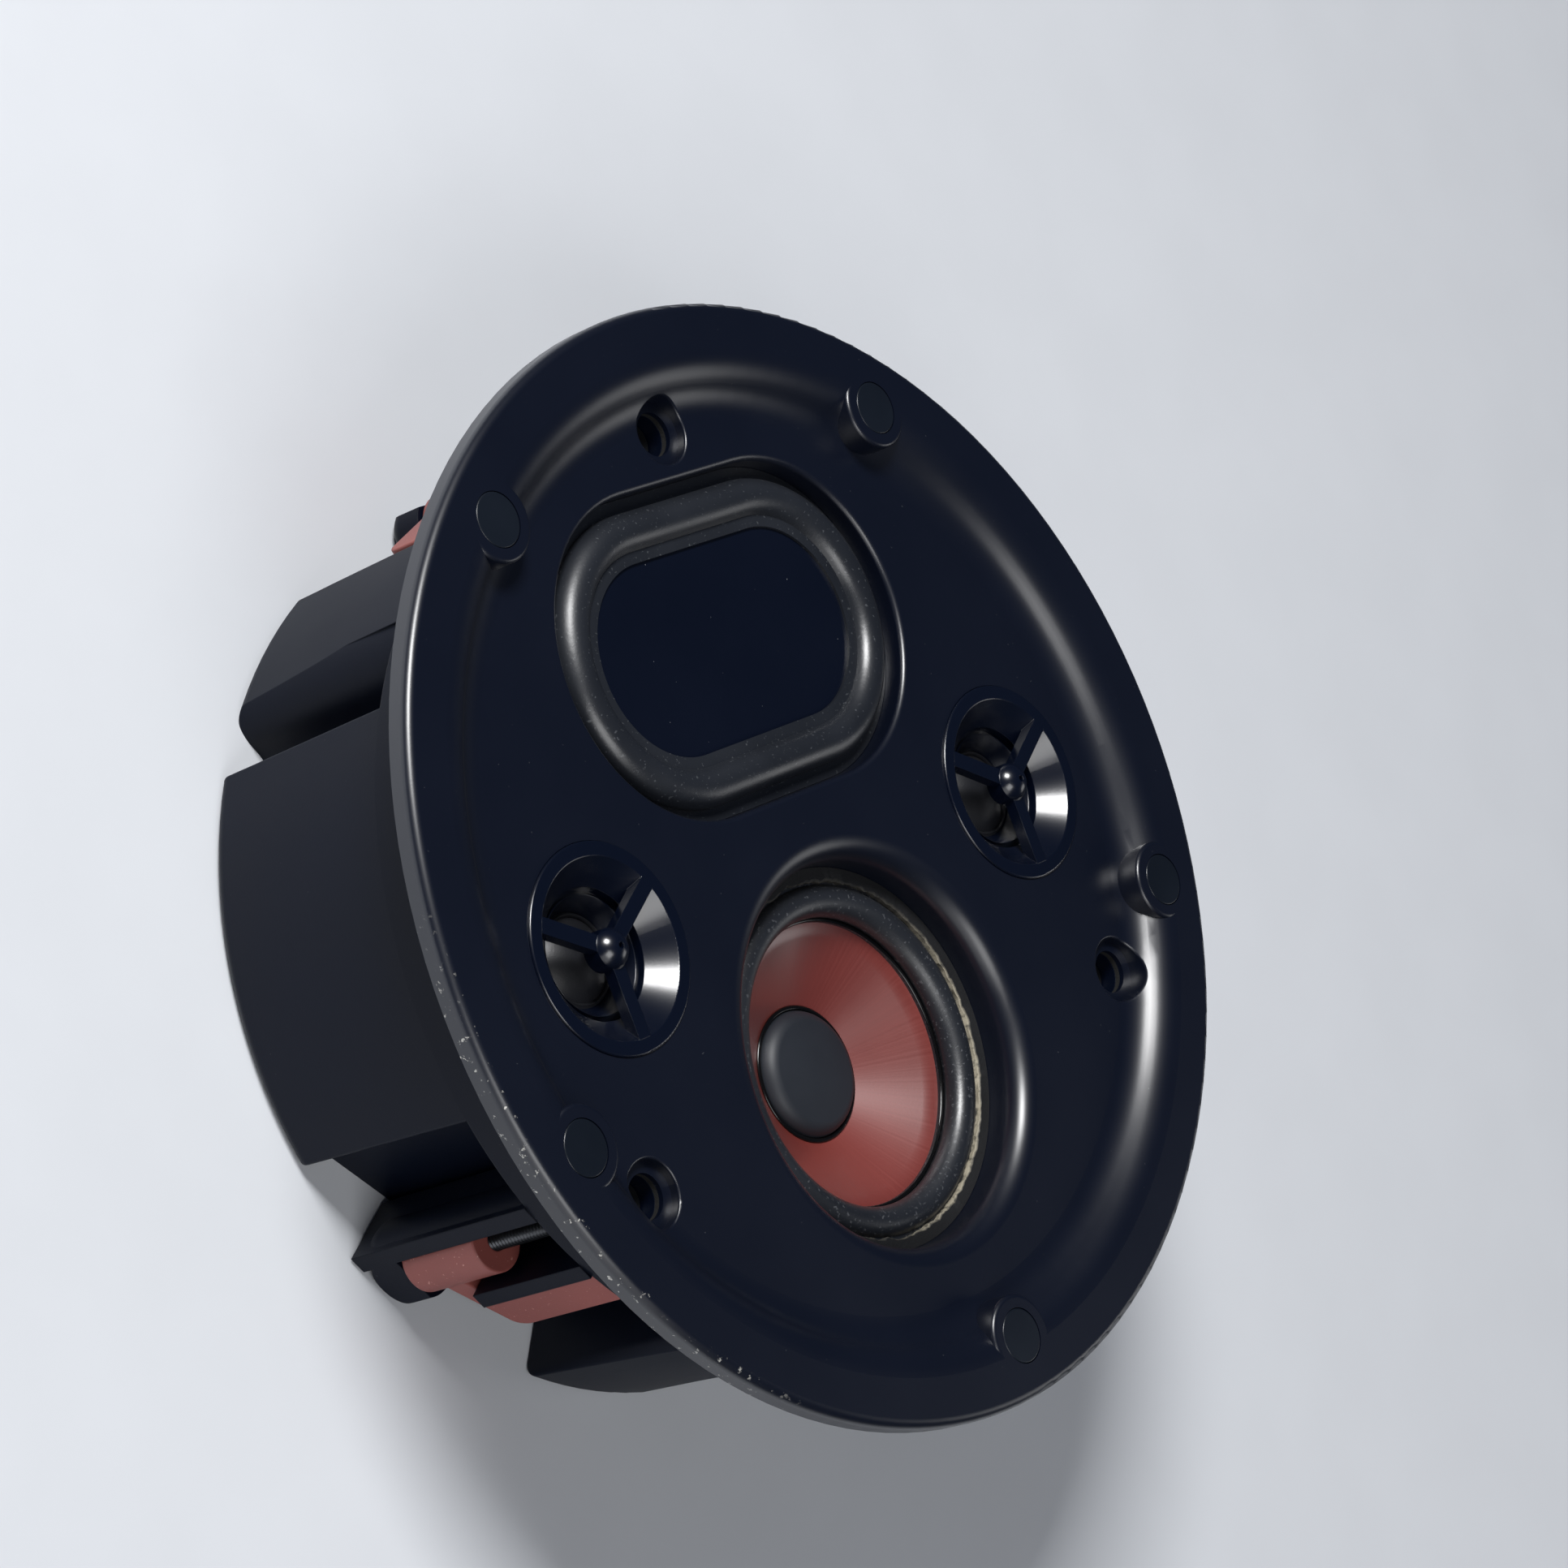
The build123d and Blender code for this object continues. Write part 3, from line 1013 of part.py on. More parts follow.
# Terminal cup let into the can's back, with two spring push terminals
with BuildPart() as terminal_cup:
    with BuildSketch(Plane.XY.offset(CUP_SUNK)):
        with Locations((0, TERMINAL_Y)):
            RectangleRounded(CUP_LONG + 2 * CUP_BORDER - SLIP, CUP_WIDE + 2 * CUP_BORDER - SLIP, CUP_ROUND)
            with GridLocations(CUP_LONG + CUP_BORDER, CUP_WIDE + CUP_BORDER, 2, 2):
                Circle(CUP_SCREW_R + SCREW_SLIP, mode=Mode.SUBTRACT)
    extrude(amount=CUP_FLANGE)
    block(0, TERMINAL_Y, CUP_LONG - SLIP, CUP_WIDE - SLIP, CUP_SUNK, CUP_SUNK + CUP_DEEP)
    inner_long = CUP_LONG - SLIP - 2 * CUP_WALL
    inner_wide = CUP_WIDE - SLIP - 2 * CUP_WALL
    block(0, TERMINAL_Y, inner_long, inner_wide, CUP_SUNK, CUP_FLOOR_Z, mode=Mode.SUBTRACT)
    with BuildSketch(Plane.XY.offset(CUP_FLOOR_Z)):
        with Locations((-PUSH_X, TERMINAL_Y + PUSH_Y), (PUSH_X, TERMINAL_Y + PUSH_Y)):
            Rectangle(PUSH_STEM + 2 * RUNNING, PUSH_STEM + 2 * RUNNING)
        with Locations((-PUSH_X, TERMINAL_Y + WIRE_HOLE_Y), (PUSH_X, TERMINAL_Y + WIRE_HOLE_Y)):
            Circle(WIRE_HOLE_R)
    extrude(amount=CUP_WALL, mode=Mode.SUBTRACT)
    with BuildSketch(Plane.XY.offset(CUP_SUNK)):
        with Locations((0, TERMINAL_Y)):
            with GridLocations(CUP_LONG + CUP_BORDER, CUP_WIDE + CUP_BORDER, 2, 2):
                Circle(CUP_HEAD_R + SLIP)
    extrude(amount=CUP_HEAD_THICK, mode=Mode.SUBTRACT)
save(terminal_cup, "terminal_cup")

with BuildPart() as terminal_screws:
    for x in (-(CUP_LONG + CUP_BORDER) / 2, (CUP_LONG + CUP_BORDER) / 2):
        for y in (-(CUP_WIDE + CUP_BORDER) / 2, (CUP_WIDE + CUP_BORDER) / 2):
            seat = CUP_SUNK + CUP_HEAD_THICK
            tip = seat + CUP_SCREW_LONG
            pan_screw(x, y + TERMINAL_Y, seat, tip, CUP_HEAD_R, CUP_HEAD_THICK, CUP_SCREW_R, up=False)
save(terminal_screws, "terminal_screws")

for number, x in enumerate((-PUSH_X, PUSH_X), start=1):
    with BuildPart() as terminal_push:
        head_top = CUP_FLOOR_Z - PUSH_REST
        stem_top = CUP_FLOOR_Z + CUP_WALL + PUSH_STEM_UP
        block(x, TERMINAL_Y + PUSH_Y, PUSH_SIZE, PUSH_SIZE, head_top - PUSH_HEAD, head_top)
        block(x, TERMINAL_Y + PUSH_Y, PUSH_STEM, PUSH_STEM, head_top, stem_top)
        catch_low = CUP_FLOOR_Z + CUP_WALL
        block(x, TERMINAL_Y + PUSH_Y, PUSH_CATCH, PUSH_CATCH, catch_low, catch_low + PUSH_CATCH_THICK)
    save(terminal_push, f"terminal_push_{number}")

    with BuildPart() as terminal_contact:
        low = CUP_FLOOR_Z + CUP_WALL
        y = TERMINAL_Y + WIRE_HOLE_Y
        block(x + WIRE_HOLE_R + CONTACT_THICK, y, CONTACT_THICK, CONTACT_WIDE, low, low + CONTACT_LONG)
        tab_x = x + WIRE_HOLE_R + CONTACT_TAB / 2 + CONTACT_THICK
        block(tab_x, y, CONTACT_TAB, CONTACT_WIDE, low, low + CONTACT_THICK)
    save(terminal_contact, f"terminal_contact_{number}")
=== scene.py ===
"""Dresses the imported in-ceiling speaker: rolls, threads, glue, torn card, finishes, light and camera."""

import math

import bmesh
import bpy
from bpy.props import FloatProperty, FloatVectorProperty, PointerProperty
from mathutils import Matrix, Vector, noise
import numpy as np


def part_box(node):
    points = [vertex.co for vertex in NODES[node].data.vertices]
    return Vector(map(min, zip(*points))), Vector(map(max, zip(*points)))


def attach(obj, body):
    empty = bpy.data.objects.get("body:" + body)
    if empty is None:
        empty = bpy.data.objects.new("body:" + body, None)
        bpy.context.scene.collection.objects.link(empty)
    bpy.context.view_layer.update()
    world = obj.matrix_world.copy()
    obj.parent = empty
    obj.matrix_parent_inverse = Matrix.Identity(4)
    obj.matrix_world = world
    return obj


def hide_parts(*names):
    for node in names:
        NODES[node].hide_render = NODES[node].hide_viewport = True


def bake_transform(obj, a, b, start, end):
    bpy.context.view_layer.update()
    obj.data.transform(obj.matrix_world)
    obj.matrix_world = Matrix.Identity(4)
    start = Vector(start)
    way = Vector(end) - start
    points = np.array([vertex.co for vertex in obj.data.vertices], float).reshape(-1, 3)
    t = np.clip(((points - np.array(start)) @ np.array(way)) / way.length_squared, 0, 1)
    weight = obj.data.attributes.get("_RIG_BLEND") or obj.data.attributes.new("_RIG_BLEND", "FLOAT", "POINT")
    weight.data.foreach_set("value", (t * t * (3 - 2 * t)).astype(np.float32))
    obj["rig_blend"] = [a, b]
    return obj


bl_info = {
    "name": "In-ceiling speaker",
    "version": (1, 0, 0),
    "blender": (4, 5, 0),
    "location": "3D View > Sidebar > Speaker",
    "description": "Builds the looks of an in-ceiling speaker round its solid model",
    "category": "Object",
}

MM = 0.001
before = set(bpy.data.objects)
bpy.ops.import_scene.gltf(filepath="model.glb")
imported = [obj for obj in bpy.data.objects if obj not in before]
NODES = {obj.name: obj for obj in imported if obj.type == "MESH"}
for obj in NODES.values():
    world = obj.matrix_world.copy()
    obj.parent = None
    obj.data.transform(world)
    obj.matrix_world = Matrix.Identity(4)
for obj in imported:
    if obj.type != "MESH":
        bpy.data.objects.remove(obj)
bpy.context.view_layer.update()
MERGE = 0.002 * MM
CLAMPS = (1, 2, 3)
TWEETERS = (1, 2)
# Smoothing angles in degrees: an edge sharper than this stays an edge
CRISP = 30
FIRM = 40
SOFT = 50
# Clamp screws: head, shank, and the flat crest of the thread as shares of its pitch
SCREW_HEAD = 3.2 * MM
SCREW_R = 2.0 * MM
CREST = (0.42, 0.58)
THREAD_STEPS = 24
# Card gasket: width, bevel of its inner edge (down and across), how deep it is torn and how deep bare,
# and the sizes of the tear's waves with their shares
CARD_WIDE = 2.6 * MM
CARD_BEVEL = (0.3 * MM, 0.4 * MM)
CARD_STEPS = 360
TEAR_DEEP = 0.5 * MM
BARE_DEEP = 0.2 * MM
TEAR_SCALES = ((2.2 * MM, 1.0), (0.9 * MM, 0.6))
# Beads of glue at the cone's rim and at its cap: step outward and up from the edge, and size
RIM_BEAD = (-1.1 * MM, 0.6 * MM, 0.75 * MM)
CAP_BEAD = (0.5 * MM, 0.75 * MM, 0.7 * MM)
BEAD_HIGH = 0.6
# Round edges of the frame: half of the straight run, how far from it the rounding's centre lies,
# its radius, its top, and whether it faces in (-1) or out (1)
BAFFLE_TOP = 68.1 * MM
FLANGE_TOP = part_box("baffle_frame")[1]
FLANGE_ROUND = 1.8 * MM
WOOFER_EDGE = (0.0, 40.6 * MM, 4.3 * MM, BAFFLE_TOP, -1)
PASSIVE_EDGE = (16.4 * MM, 31.55 * MM, 1.2 * MM, BAFFLE_TOP, -1)
FLANGE_EDGE = (0.0, FLANGE_TOP.x - FLANGE_ROUND, FLANGE_ROUND, FLANGE_TOP.z, 1)
# How near to a round edge its vertices lie, and how far past its ends they may be, in its radii
EDGE_NEAR = 0.03
EDGE_PAST = 0.01
# Short flat beside the woofer's mouth: how far it runs on from the mouth's widest point, the slack
# of its end, and in radii of the mouth's edge the slack of its inner line and its greatest depth
FLAT_RUN = 5.9 * MM
FLAT_SLACK = 10 * MERGE
FLAT_LINE = 0.02
FLAT_DEEP = 0.2
# Where each flexing ring is held and where it starts to move with its piston, as radii about its own axis
WOOFER_ROLL = (33.2 * MM, 28.4 * MM)
SPIDER = (28.2 * MM, 12.1 * MM)
DOME_ROLL = (8.6 * MM, 7.6 * MM)
# The same for the long ring, as distances in from its outer edge
PASSIVE_ROLL = (2.7 * MM, 9.9 * MM)
# Sheen of the smooth mouldings, of the etched can, and of the clear coat on the cone
GLOSSY = {"Specular IOR Level": 0.9}
DULL = {"Specular IOR Level": 0.14}
COATED = {"Coat Weight": 1.0, "Coat Roughness": 0.26, "Specular IOR Level": 0.9}
# Keeps the plan of a direction and drops its height
IN_PLAN = (1, 1, 0)
# Slow changes of a finish: their size in millimetres, the span of noise they use, their share of the sheen
CLOUD = 30.0
CLOUD_SPAN = {"From Min": 0.35, "From Max": 0.65}
SHEEN_SHARE = 0.3
# Streaks on the cone: how many go round, the span of noise they use, how they darken and lighten it
STREAKS = 260.0
STREAK_SPAN = {"From Min": 0.3, "From Max": 0.7}
STREAK_LIFT = {"To Min": 0.95, "To Max": 1.06}
# Flecks: noise level of the rarest, how far a full share lowers it, and its soft edge
FLECK_LEVEL = 0.78
FLECK_DROP = 0.3
FLECK_SOFT = 0.05
# Scuffs on the flange: the side they are on, how far in they reach, their fade, size and level
SCUFF_WAY = (-0.924, -0.383, 0)
SCUFF_WIDE = 1.6 * MM
SCUFF_FADE = 0.5 * MM
SCUFF_SIZE = 1.6
SCUFF_SIDE = {"From Min": 0.84, "From Max": 0.95}
SCUFF_SPAN = {"From Min": 0.62, "From Max": 0.65}
# Bare fibres of the card: the side they show on most, their size and how they break up
FIBRE_WAY = (0.85, -0.53, 0)
FIBRE_SIZE = 1.2
FIBRE_SIDE = {"From Min": 0.3, "From Max": 0.8, "To Min": 0.1}
FIBRE_SPAN = {"From Min": 0.35, "From Max": 0.5, "To Min": 0.35}
# Studio: each light's direction from the speaker, distance and size in metres, and power in watts
LIGHTS = {
    "key_light": ((-0.3, 0.64, 0.7), 1.7, 0.5, 33.0),
    "front_fill": ((-0.55, -0.4, 0.73), 1.8, 0.9, 10.0),
    "side_light": ((0.78, -0.5, 0.38), 1.7, 0.6, 1.8),
    "low_fill": ((-0.75, -0.62, 0.2), 1.8, 1.4, 6.0),
}
# Sky that fills the shadows, and half of the floor's side in metres
SKY_COLOUR = "#B4C8F2"
SKY_STRENGTH = 0.05
FLOOR_HALF = 6.0
# Camera: place in metres, turn in degrees, lens and sensor in millimetres, shift in frame widths
CAMERA_PLACE = (-0.6434, 0.0274, 0.6129)
CAMERA_TURN = (20.664, -46.202, -30.253)
CAMERA_LENS = 106.43
CAMERA_SENSOR = 36.0
CAMERA_SHIFT = (-0.0202, 0.0596)


def linear(code):
    """sRGB hex code as linear red, green, blue and alpha."""
    values = [int(code[n : n + 2], 16) / 255 for n in (1, 3, 5)]
    return [v / 12.92 if v <= 0.04045 else ((v + 0.055) / 1.055) ** 2.4 for v in values] + [1.0]


def middle(node):
    """Centre of a CAD node's box."""
    low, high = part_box(node)
    return (low + high) / 2


def colour_property(name, description, code):
    """Colour that a user can change, from its hex code."""
    return FloatVectorProperty(
        name=name, description=description, subtype="COLOR", size=4, min=0, max=1, default=linear(code)
    )


def length_property(name, description, size):
    """Length that a user can change, from its millimetres."""
    return FloatProperty(name=name, description=description, unit="LENGTH", min=0, default=size * MM)


class SpeakerSizes(bpy.types.PropertyGroup):
    """Sizes of what is finer than the solid model."""

    can_edge: length_property("Can edge", "Rounding along the back can's sharp edges", 0.4)
    clamp_edge: length_property("Clamp edge", "Rounding along the clamps' edges", 0.45)
    small_edge: length_property("Small edge", "Rounding along the edges of small pieces", 0.2)
    thread_pitch: length_property("Thread pitch", "Pitch of the clamp screws' thread", 0.8)
    thread_depth: length_property("Thread depth", "Depth of the clamp screws' thread", 0.42)
    fray: length_property("Fray", "How far the card gasket's torn edge wanders", 0.5)


class SpeakerColours(bpy.types.PropertyGroup):
    """Colours of the finishes."""

    # The plastic's navy tint is a painted reflection of a blue surround on a deep black plastic
    plastic: colour_property("Plastic", "Front frame, tweeters and plate", "#040A1A")
    # The can's navy tint is a painted reflection of a dark blue surround on a black plastic
    can: colour_property("Can", "Back can", "#050B1A")
    chip: colour_property("Chip", "Scuffs along the flange's edge", "#B9B7B0")
    rubber: colour_property("Rubber", "Surrounds", "#1D2026")
    cone: colour_property("Cone", "Woofer's cone", "#76302A")
    cap: colour_property("Cap", "Woofer's dust cap", "#21252C")
    card: colour_property("Card", "Bare fibres of the woofer's gasket", "#A79F8C")
    nylon: colour_property("Nylon", "Clamps", "#8E4D47")
    magnet: colour_property("Magnet", "Grille magnets", "#10161F")
    screw: colour_property("Screw", "Clamp screws", "#34363A")
    floor: colour_property("Floor", "Floor under the speaker", "#DADDE2")


def add(tree, kind, inputs=None, **settings):
    """New node: settings are its own properties, inputs are values or the sockets they come from."""
    made = tree.nodes.new(kind)
    for name, value in settings.items():
        setattr(made, name, value)
    for name, value in (inputs or {}).items():
        if isinstance(value, bpy.types.NodeSocket):
            tree.links.new(value, made.inputs[name])
        else:
            made.inputs[name].default_value = value
    return made


def per_mm(size):
    """Texture scale that makes one cell of a pattern that many millimetres."""
    return 1 / (size * MM)


def finish(name, colour, roughness, grain, relief, uneven=0.15, metallic=0.0, edge=0.0, **sockets):
    """Material with fine grain in relief, in millimetres, and slow changes of colour and sheen."""
    # Most real grains are too fine to show, so grain is drawn as coarse as it needs to be seen
    material = bpy.data.materials.new(name)
    material.use_nodes = True
    tree = material.node_tree
    tree.nodes.clear()
    place = add(tree, "ShaderNodeTexCoord").outputs["Object"]
    cloud = add(tree, "ShaderNodeTexNoise", {"Vector": place, "Scale": per_mm(CLOUD), "Detail": 4.0})
    fine = add(tree, "ShaderNodeTexNoise", {"Vector": place, "Scale": per_mm(grain), "Detail": 3.0})
    height = {"Height": fine.outputs["Fac"], "Strength": 1.0, "Distance": relief * MM}
    bump = add(tree, "ShaderNodeBump", height)
    if edge:
        corner = add(tree, "ShaderNodeBevel", {"Radius": edge}, samples=6)
        tree.links.new(corner.outputs["Normal"], bump.inputs["Normal"])
    colour = list(colour)
    dark = [c * (1 - uneven) for c in colour[:3]] + [1.0]
    light = [min(1.0, c * (1 + uneven)) for c in colour[:3]] + [1.0]
    slow = {"Value": cloud.outputs["Fac"], **CLOUD_SPAN}
    patch = add(tree, "ShaderNodeMapRange", slow).outputs["Result"]
    tone = add(tree, "ShaderNodeMix", {0: patch, 6: dark, 7: light}, data_type="RGBA").outputs[2]
    swing = SHEEN_SHARE * uneven
    ends = {"To Min": roughness - swing, "To Max": roughness + swing}
    sheen = add(tree, "ShaderNodeMapRange", {**slow, **ends}).outputs["Result"]
    skin = {"Base Color": tone, "Roughness": sheen, "Normal": bump.outputs["Normal"]}
    shader = add(tree, "ShaderNodeBsdfPrincipled", {**skin, "Metallic": metallic, **sockets})
    add(tree, "ShaderNodeOutputMaterial", {"Surface": shader.outputs["BSDF"]})
    return material


def tone_socket(material):
    """Shader of a finish, and the socket that now gives its colour."""
    shader = next(n for n in material.node_tree.nodes if n.type == "BSDF_PRINCIPLED")
    return shader, shader.inputs["Base Color"].links[0].from_socket


def flecked(material, colour, size, share):
    """Adds small flecks of another colour, such as dust or filler, over a share of the surface."""
    tree = material.node_tree
    shader, tone = tone_socket(material)
    place = add(tree, "ShaderNodeTexCoord").outputs["Object"]
    grit = add(tree, "ShaderNodeTexNoise", {"Vector": place, "Scale": per_mm(size), "Detail": 2.0})
    level = FLECK_LEVEL - FLECK_DROP * share
    ends = {"Value": grit.outputs["Fac"], "From Min": level, "From Max": level + FLECK_SOFT}
    mask = add(tree, "ShaderNodeMapRange", ends).outputs["Result"]
    both = add(tree, "ShaderNodeMix", {0: mask, 6: tone, 7: colour}, data_type="RGBA").outputs[2]
    tree.links.new(both, shader.inputs["Base Color"])


def scuffed(material, colour, radius, towards):
    """Adds pale chips on the surface beyond a radius, on the side that a direction points to."""
    tree = material.node_tree
    shader, tone = tone_socket(material)
    place = add(tree, "ShaderNodeTexCoord").outputs["Object"]
    flat = add(tree, "ShaderNodeVectorMath", {0: place, 1: IN_PLAN}, operation="MULTIPLY").outputs["Vector"]
    reach = add(tree, "ShaderNodeVectorMath", {0: flat}, operation="LENGTH").outputs["Value"]
    ends = {"Value": reach, "From Min": radius, "From Max": radius + SCUFF_FADE}
    rim = add(tree, "ShaderNodeMapRange", ends).outputs["Result"]
    way = add(tree, "ShaderNodeVectorMath", {0: flat}, operation="NORMALIZE").outputs["Vector"]
    dot = add(tree, "ShaderNodeVectorMath", {0: way, 1: towards}, operation="DOT_PRODUCT")
    side = add(tree, "ShaderNodeMapRange", {"Value": dot.outputs["Value"], **SCUFF_SIDE}).outputs["Result"]
    rough = {"Vector": place, "Scale": per_mm(SCUFF_SIZE), "Detail": 5.0, "Roughness": 0.7}
    worn = add(tree, "ShaderNodeTexNoise", rough).outputs["Fac"]
    chips = add(tree, "ShaderNodeMapRange", {"Value": worn, **SCUFF_SPAN}).outputs["Result"]
    near = add(tree, "ShaderNodeMath", {0: rim, 1: side}, operation="MULTIPLY").outputs["Value"]
    mask = add(tree, "ShaderNodeMath", {0: near, 1: chips}, operation="MULTIPLY").outputs["Value"]
    both = add(tree, "ShaderNodeMix", {0: mask, 6: tone, 7: colour}, data_type="RGBA").outputs[2]
    tree.links.new(both, shader.inputs["Base Color"])


def torn(material, colour, centre, towards):
    """Shows bare fibres where the mesh is marked bare, mostly on the side that a direction points to."""
    tree = material.node_tree
    shader, tone = tone_socket(material)
    place = add(tree, "ShaderNodeTexCoord").outputs["Object"]
    about = add(tree, "ShaderNodeVectorMath", {0: place, 1: centre}, operation="SUBTRACT").outputs["Vector"]
    flat = add(tree, "ShaderNodeVectorMath", {0: about, 1: IN_PLAN}, operation="MULTIPLY").outputs["Vector"]
    way = add(tree, "ShaderNodeVectorMath", {0: flat}, operation="NORMALIZE").outputs["Vector"]
    dot = add(tree, "ShaderNodeVectorMath", {0: way, 1: towards}, operation="DOT_PRODUCT")
    side = add(tree, "ShaderNodeMapRange", {"Value": dot.outputs["Value"], **FIBRE_SIDE}).outputs["Result"]
    bare = add(tree, "ShaderNodeAttribute", attribute_name="bare").outputs["Fac"]
    ragged = add(tree, "ShaderNodeTexNoise", {"Vector": place, "Scale": per_mm(FIBRE_SIZE), "Detail": 3.0})
    ends = {"Value": ragged.outputs["Fac"], **FIBRE_SPAN}
    fibre = add(tree, "ShaderNodeMapRange", ends).outputs["Result"]
    near = add(tree, "ShaderNodeMath", {0: bare, 1: side}, operation="MULTIPLY").outputs["Value"]
    mask = add(tree, "ShaderNodeMath", {0: near, 1: fibre}, operation="MULTIPLY").outputs["Value"]
    both = add(tree, "ShaderNodeMix", {0: mask, 6: tone, 7: colour}, data_type="RGBA").outputs[2]
    tree.links.new(both, shader.inputs["Base Color"])


def streaked(material, centre, count, depth):
    """Adds fine streaks that run outward from an upright axis, as a spun or pressed surface has."""
    tree = material.node_tree
    shader, tone = tone_socket(material)
    sheen = shader.inputs["Roughness"].links[0].from_socket
    place = add(tree, "ShaderNodeTexCoord").outputs["Object"]
    about = add(tree, "ShaderNodeVectorMath", {0: place, 1: centre}, operation="SUBTRACT").outputs["Vector"]
    turn = add(tree, "ShaderNodeTexGradient", {"Vector": about}, gradient_type="RADIAL").outputs["Fac"]
    around = {"W": turn, "Scale": count, "Detail": 4.0}
    line = add(tree, "ShaderNodeTexNoise", around, noise_dimensions="1D")
    ends = {"Value": line.outputs["Fac"], **STREAK_SPAN}
    shift = add(tree, "ShaderNodeMapRange", {**ends, "To Min": -depth, "To Max": depth}).outputs["Result"]
    rough = add(tree, "ShaderNodeMath", {0: sheen, 1: shift}, operation="ADD").outputs["Value"]
    tree.links.new(rough, shader.inputs["Roughness"])
    lift = add(tree, "ShaderNodeMapRange", {**ends, **STREAK_LIFT}).outputs["Result"]
    scaled = add(tree, "ShaderNodeVectorMath", {0: tone, "Scale": lift}, operation="SCALE")
    tree.links.new(scaled.outputs["Vector"], shader.inputs["Base Color"])


def paint(node, material):
    """Gives a CAD node that stays as it is its finish."""
    piece = NODES[node]
    for place in piece.material_slots:
        place.material = material
    if not piece.material_slots:
        raise RuntimeError(f"{node} has no material slot")


def piece_from(bm, name, material, body, slot, *nodes):
    """Makes a bmesh a piece that rides on a body and stands for CAD nodes."""
    mesh = bpy.data.meshes.new(name)
    bm.to_mesh(mesh)
    bm.free()
    if not mesh.polygons:
        raise RuntimeError(f"{name} has no faces")
    mesh.materials.clear()
    mesh.materials.append(material)
    mesh.polygons.foreach_set("material_index", [0] * len(mesh.polygons))
    piece = bpy.data.objects.new(name, mesh)
    bpy.context.scene.collection.objects.link(piece)
    if body:
        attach(piece, body)
    if nodes:
        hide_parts(*nodes)
    return piece


def copied(node):
    """Bmesh of a CAD node with its loose triangles joined."""
    mesh = NODES[node].data.copy()
    for spare in [a.name for a in mesh.attributes if a.name == "custom_normal"]:
        mesh.attributes.remove(mesh.attributes[spare])
    bm = bmesh.new()
    bm.from_mesh(mesh)
    bpy.data.meshes.remove(mesh)
    bmesh.ops.remove_doubles(bm, verts=bm.verts, dist=MERGE)
    return bm


def smoothed(piece, angle):
    """Smooth shading that keeps edges sharper than an angle, in degrees."""
    mesh = piece.data
    mesh.polygons.foreach_set("use_smooth", [True] * len(mesh.polygons))
    mesh.set_sharp_from_angle(angle=math.radians(angle))
    return piece


def across(place, centre, half_run, line, radius, top):
    """Place across a round edge, in radii outward and upward of its centre, and the way outward."""
    along = min(half_run, max(-half_run, place.x - centre.x))
    away = Vector((place.x - centre.x - along, place.y - centre.y, 0))
    return (away.length - line) / radius, (place.z - top) / radius + 1, away.normalized()


def lathe(outline, axis, steps=144):
    """Bmesh of a closed outline, (radius, height) points in metres, spun about an upright axis."""
    bm = bmesh.new()
    verts = [bm.verts.new((axis.x + r, axis.y, z)) for r, z in outline]
    edges = [bm.edges.new(pair) for pair in zip(verts, verts[1:] + verts[:1])]
    bmesh.ops.spin(
        bm, geom=verts + edges, cent=axis, axis=(0, 0, 1), angle=2 * math.pi, steps=steps, use_merge=True
    )
    bmesh.ops.remove_doubles(bm, verts=bm.verts, dist=MERGE)
    bmesh.ops.recalc_face_normals(bm, faces=bm.faces)
    return bm


def rounded(piece, levels):
    """Smooth subdivision of a piece."""
    piece.data.polygons.foreach_set("use_smooth", [True] * len(piece.data.polygons))
    smooth = piece.modifiers.new("rounding", "SUBSURF")
    smooth.levels = levels
    smooth.render_levels = levels


def flexing(piece, body, centre, held, free, half_run=0.0):
    """Bends a round or long ring between the housing, at its held radius, and a body, at its free one."""
    low = Vector(piece.bound_box[0])
    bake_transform(piece, "housing", body, start=low, end=low + Vector((0, 0, MM)))
    shares = []
    for vertex in piece.data.vertices:
        along = max(0.0, abs(vertex.co.x - centre.x) - half_run)
        away = math.hypot(along, vertex.co.y - centre.y)
        part = min(1.0, max(0.0, (held - away) / (held - free)))
        shares.append(part * part * (3 - 2 * part))
    piece.data.attributes["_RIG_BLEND"].data.foreach_set("value", shares)


def zinc_plate():
    """Zinc plated steel, which the small screws and the motors' plates share."""
    # Pale grey metal with a fine satin from the plating bath
    made = bpy.data.materials.get("zinc_plated_steel")
    return made or finish(
        "zinc_plated_steel", linear("#9A9A94"), roughness=0.34, grain=0.25, relief=0.01, metallic=1.0
    )


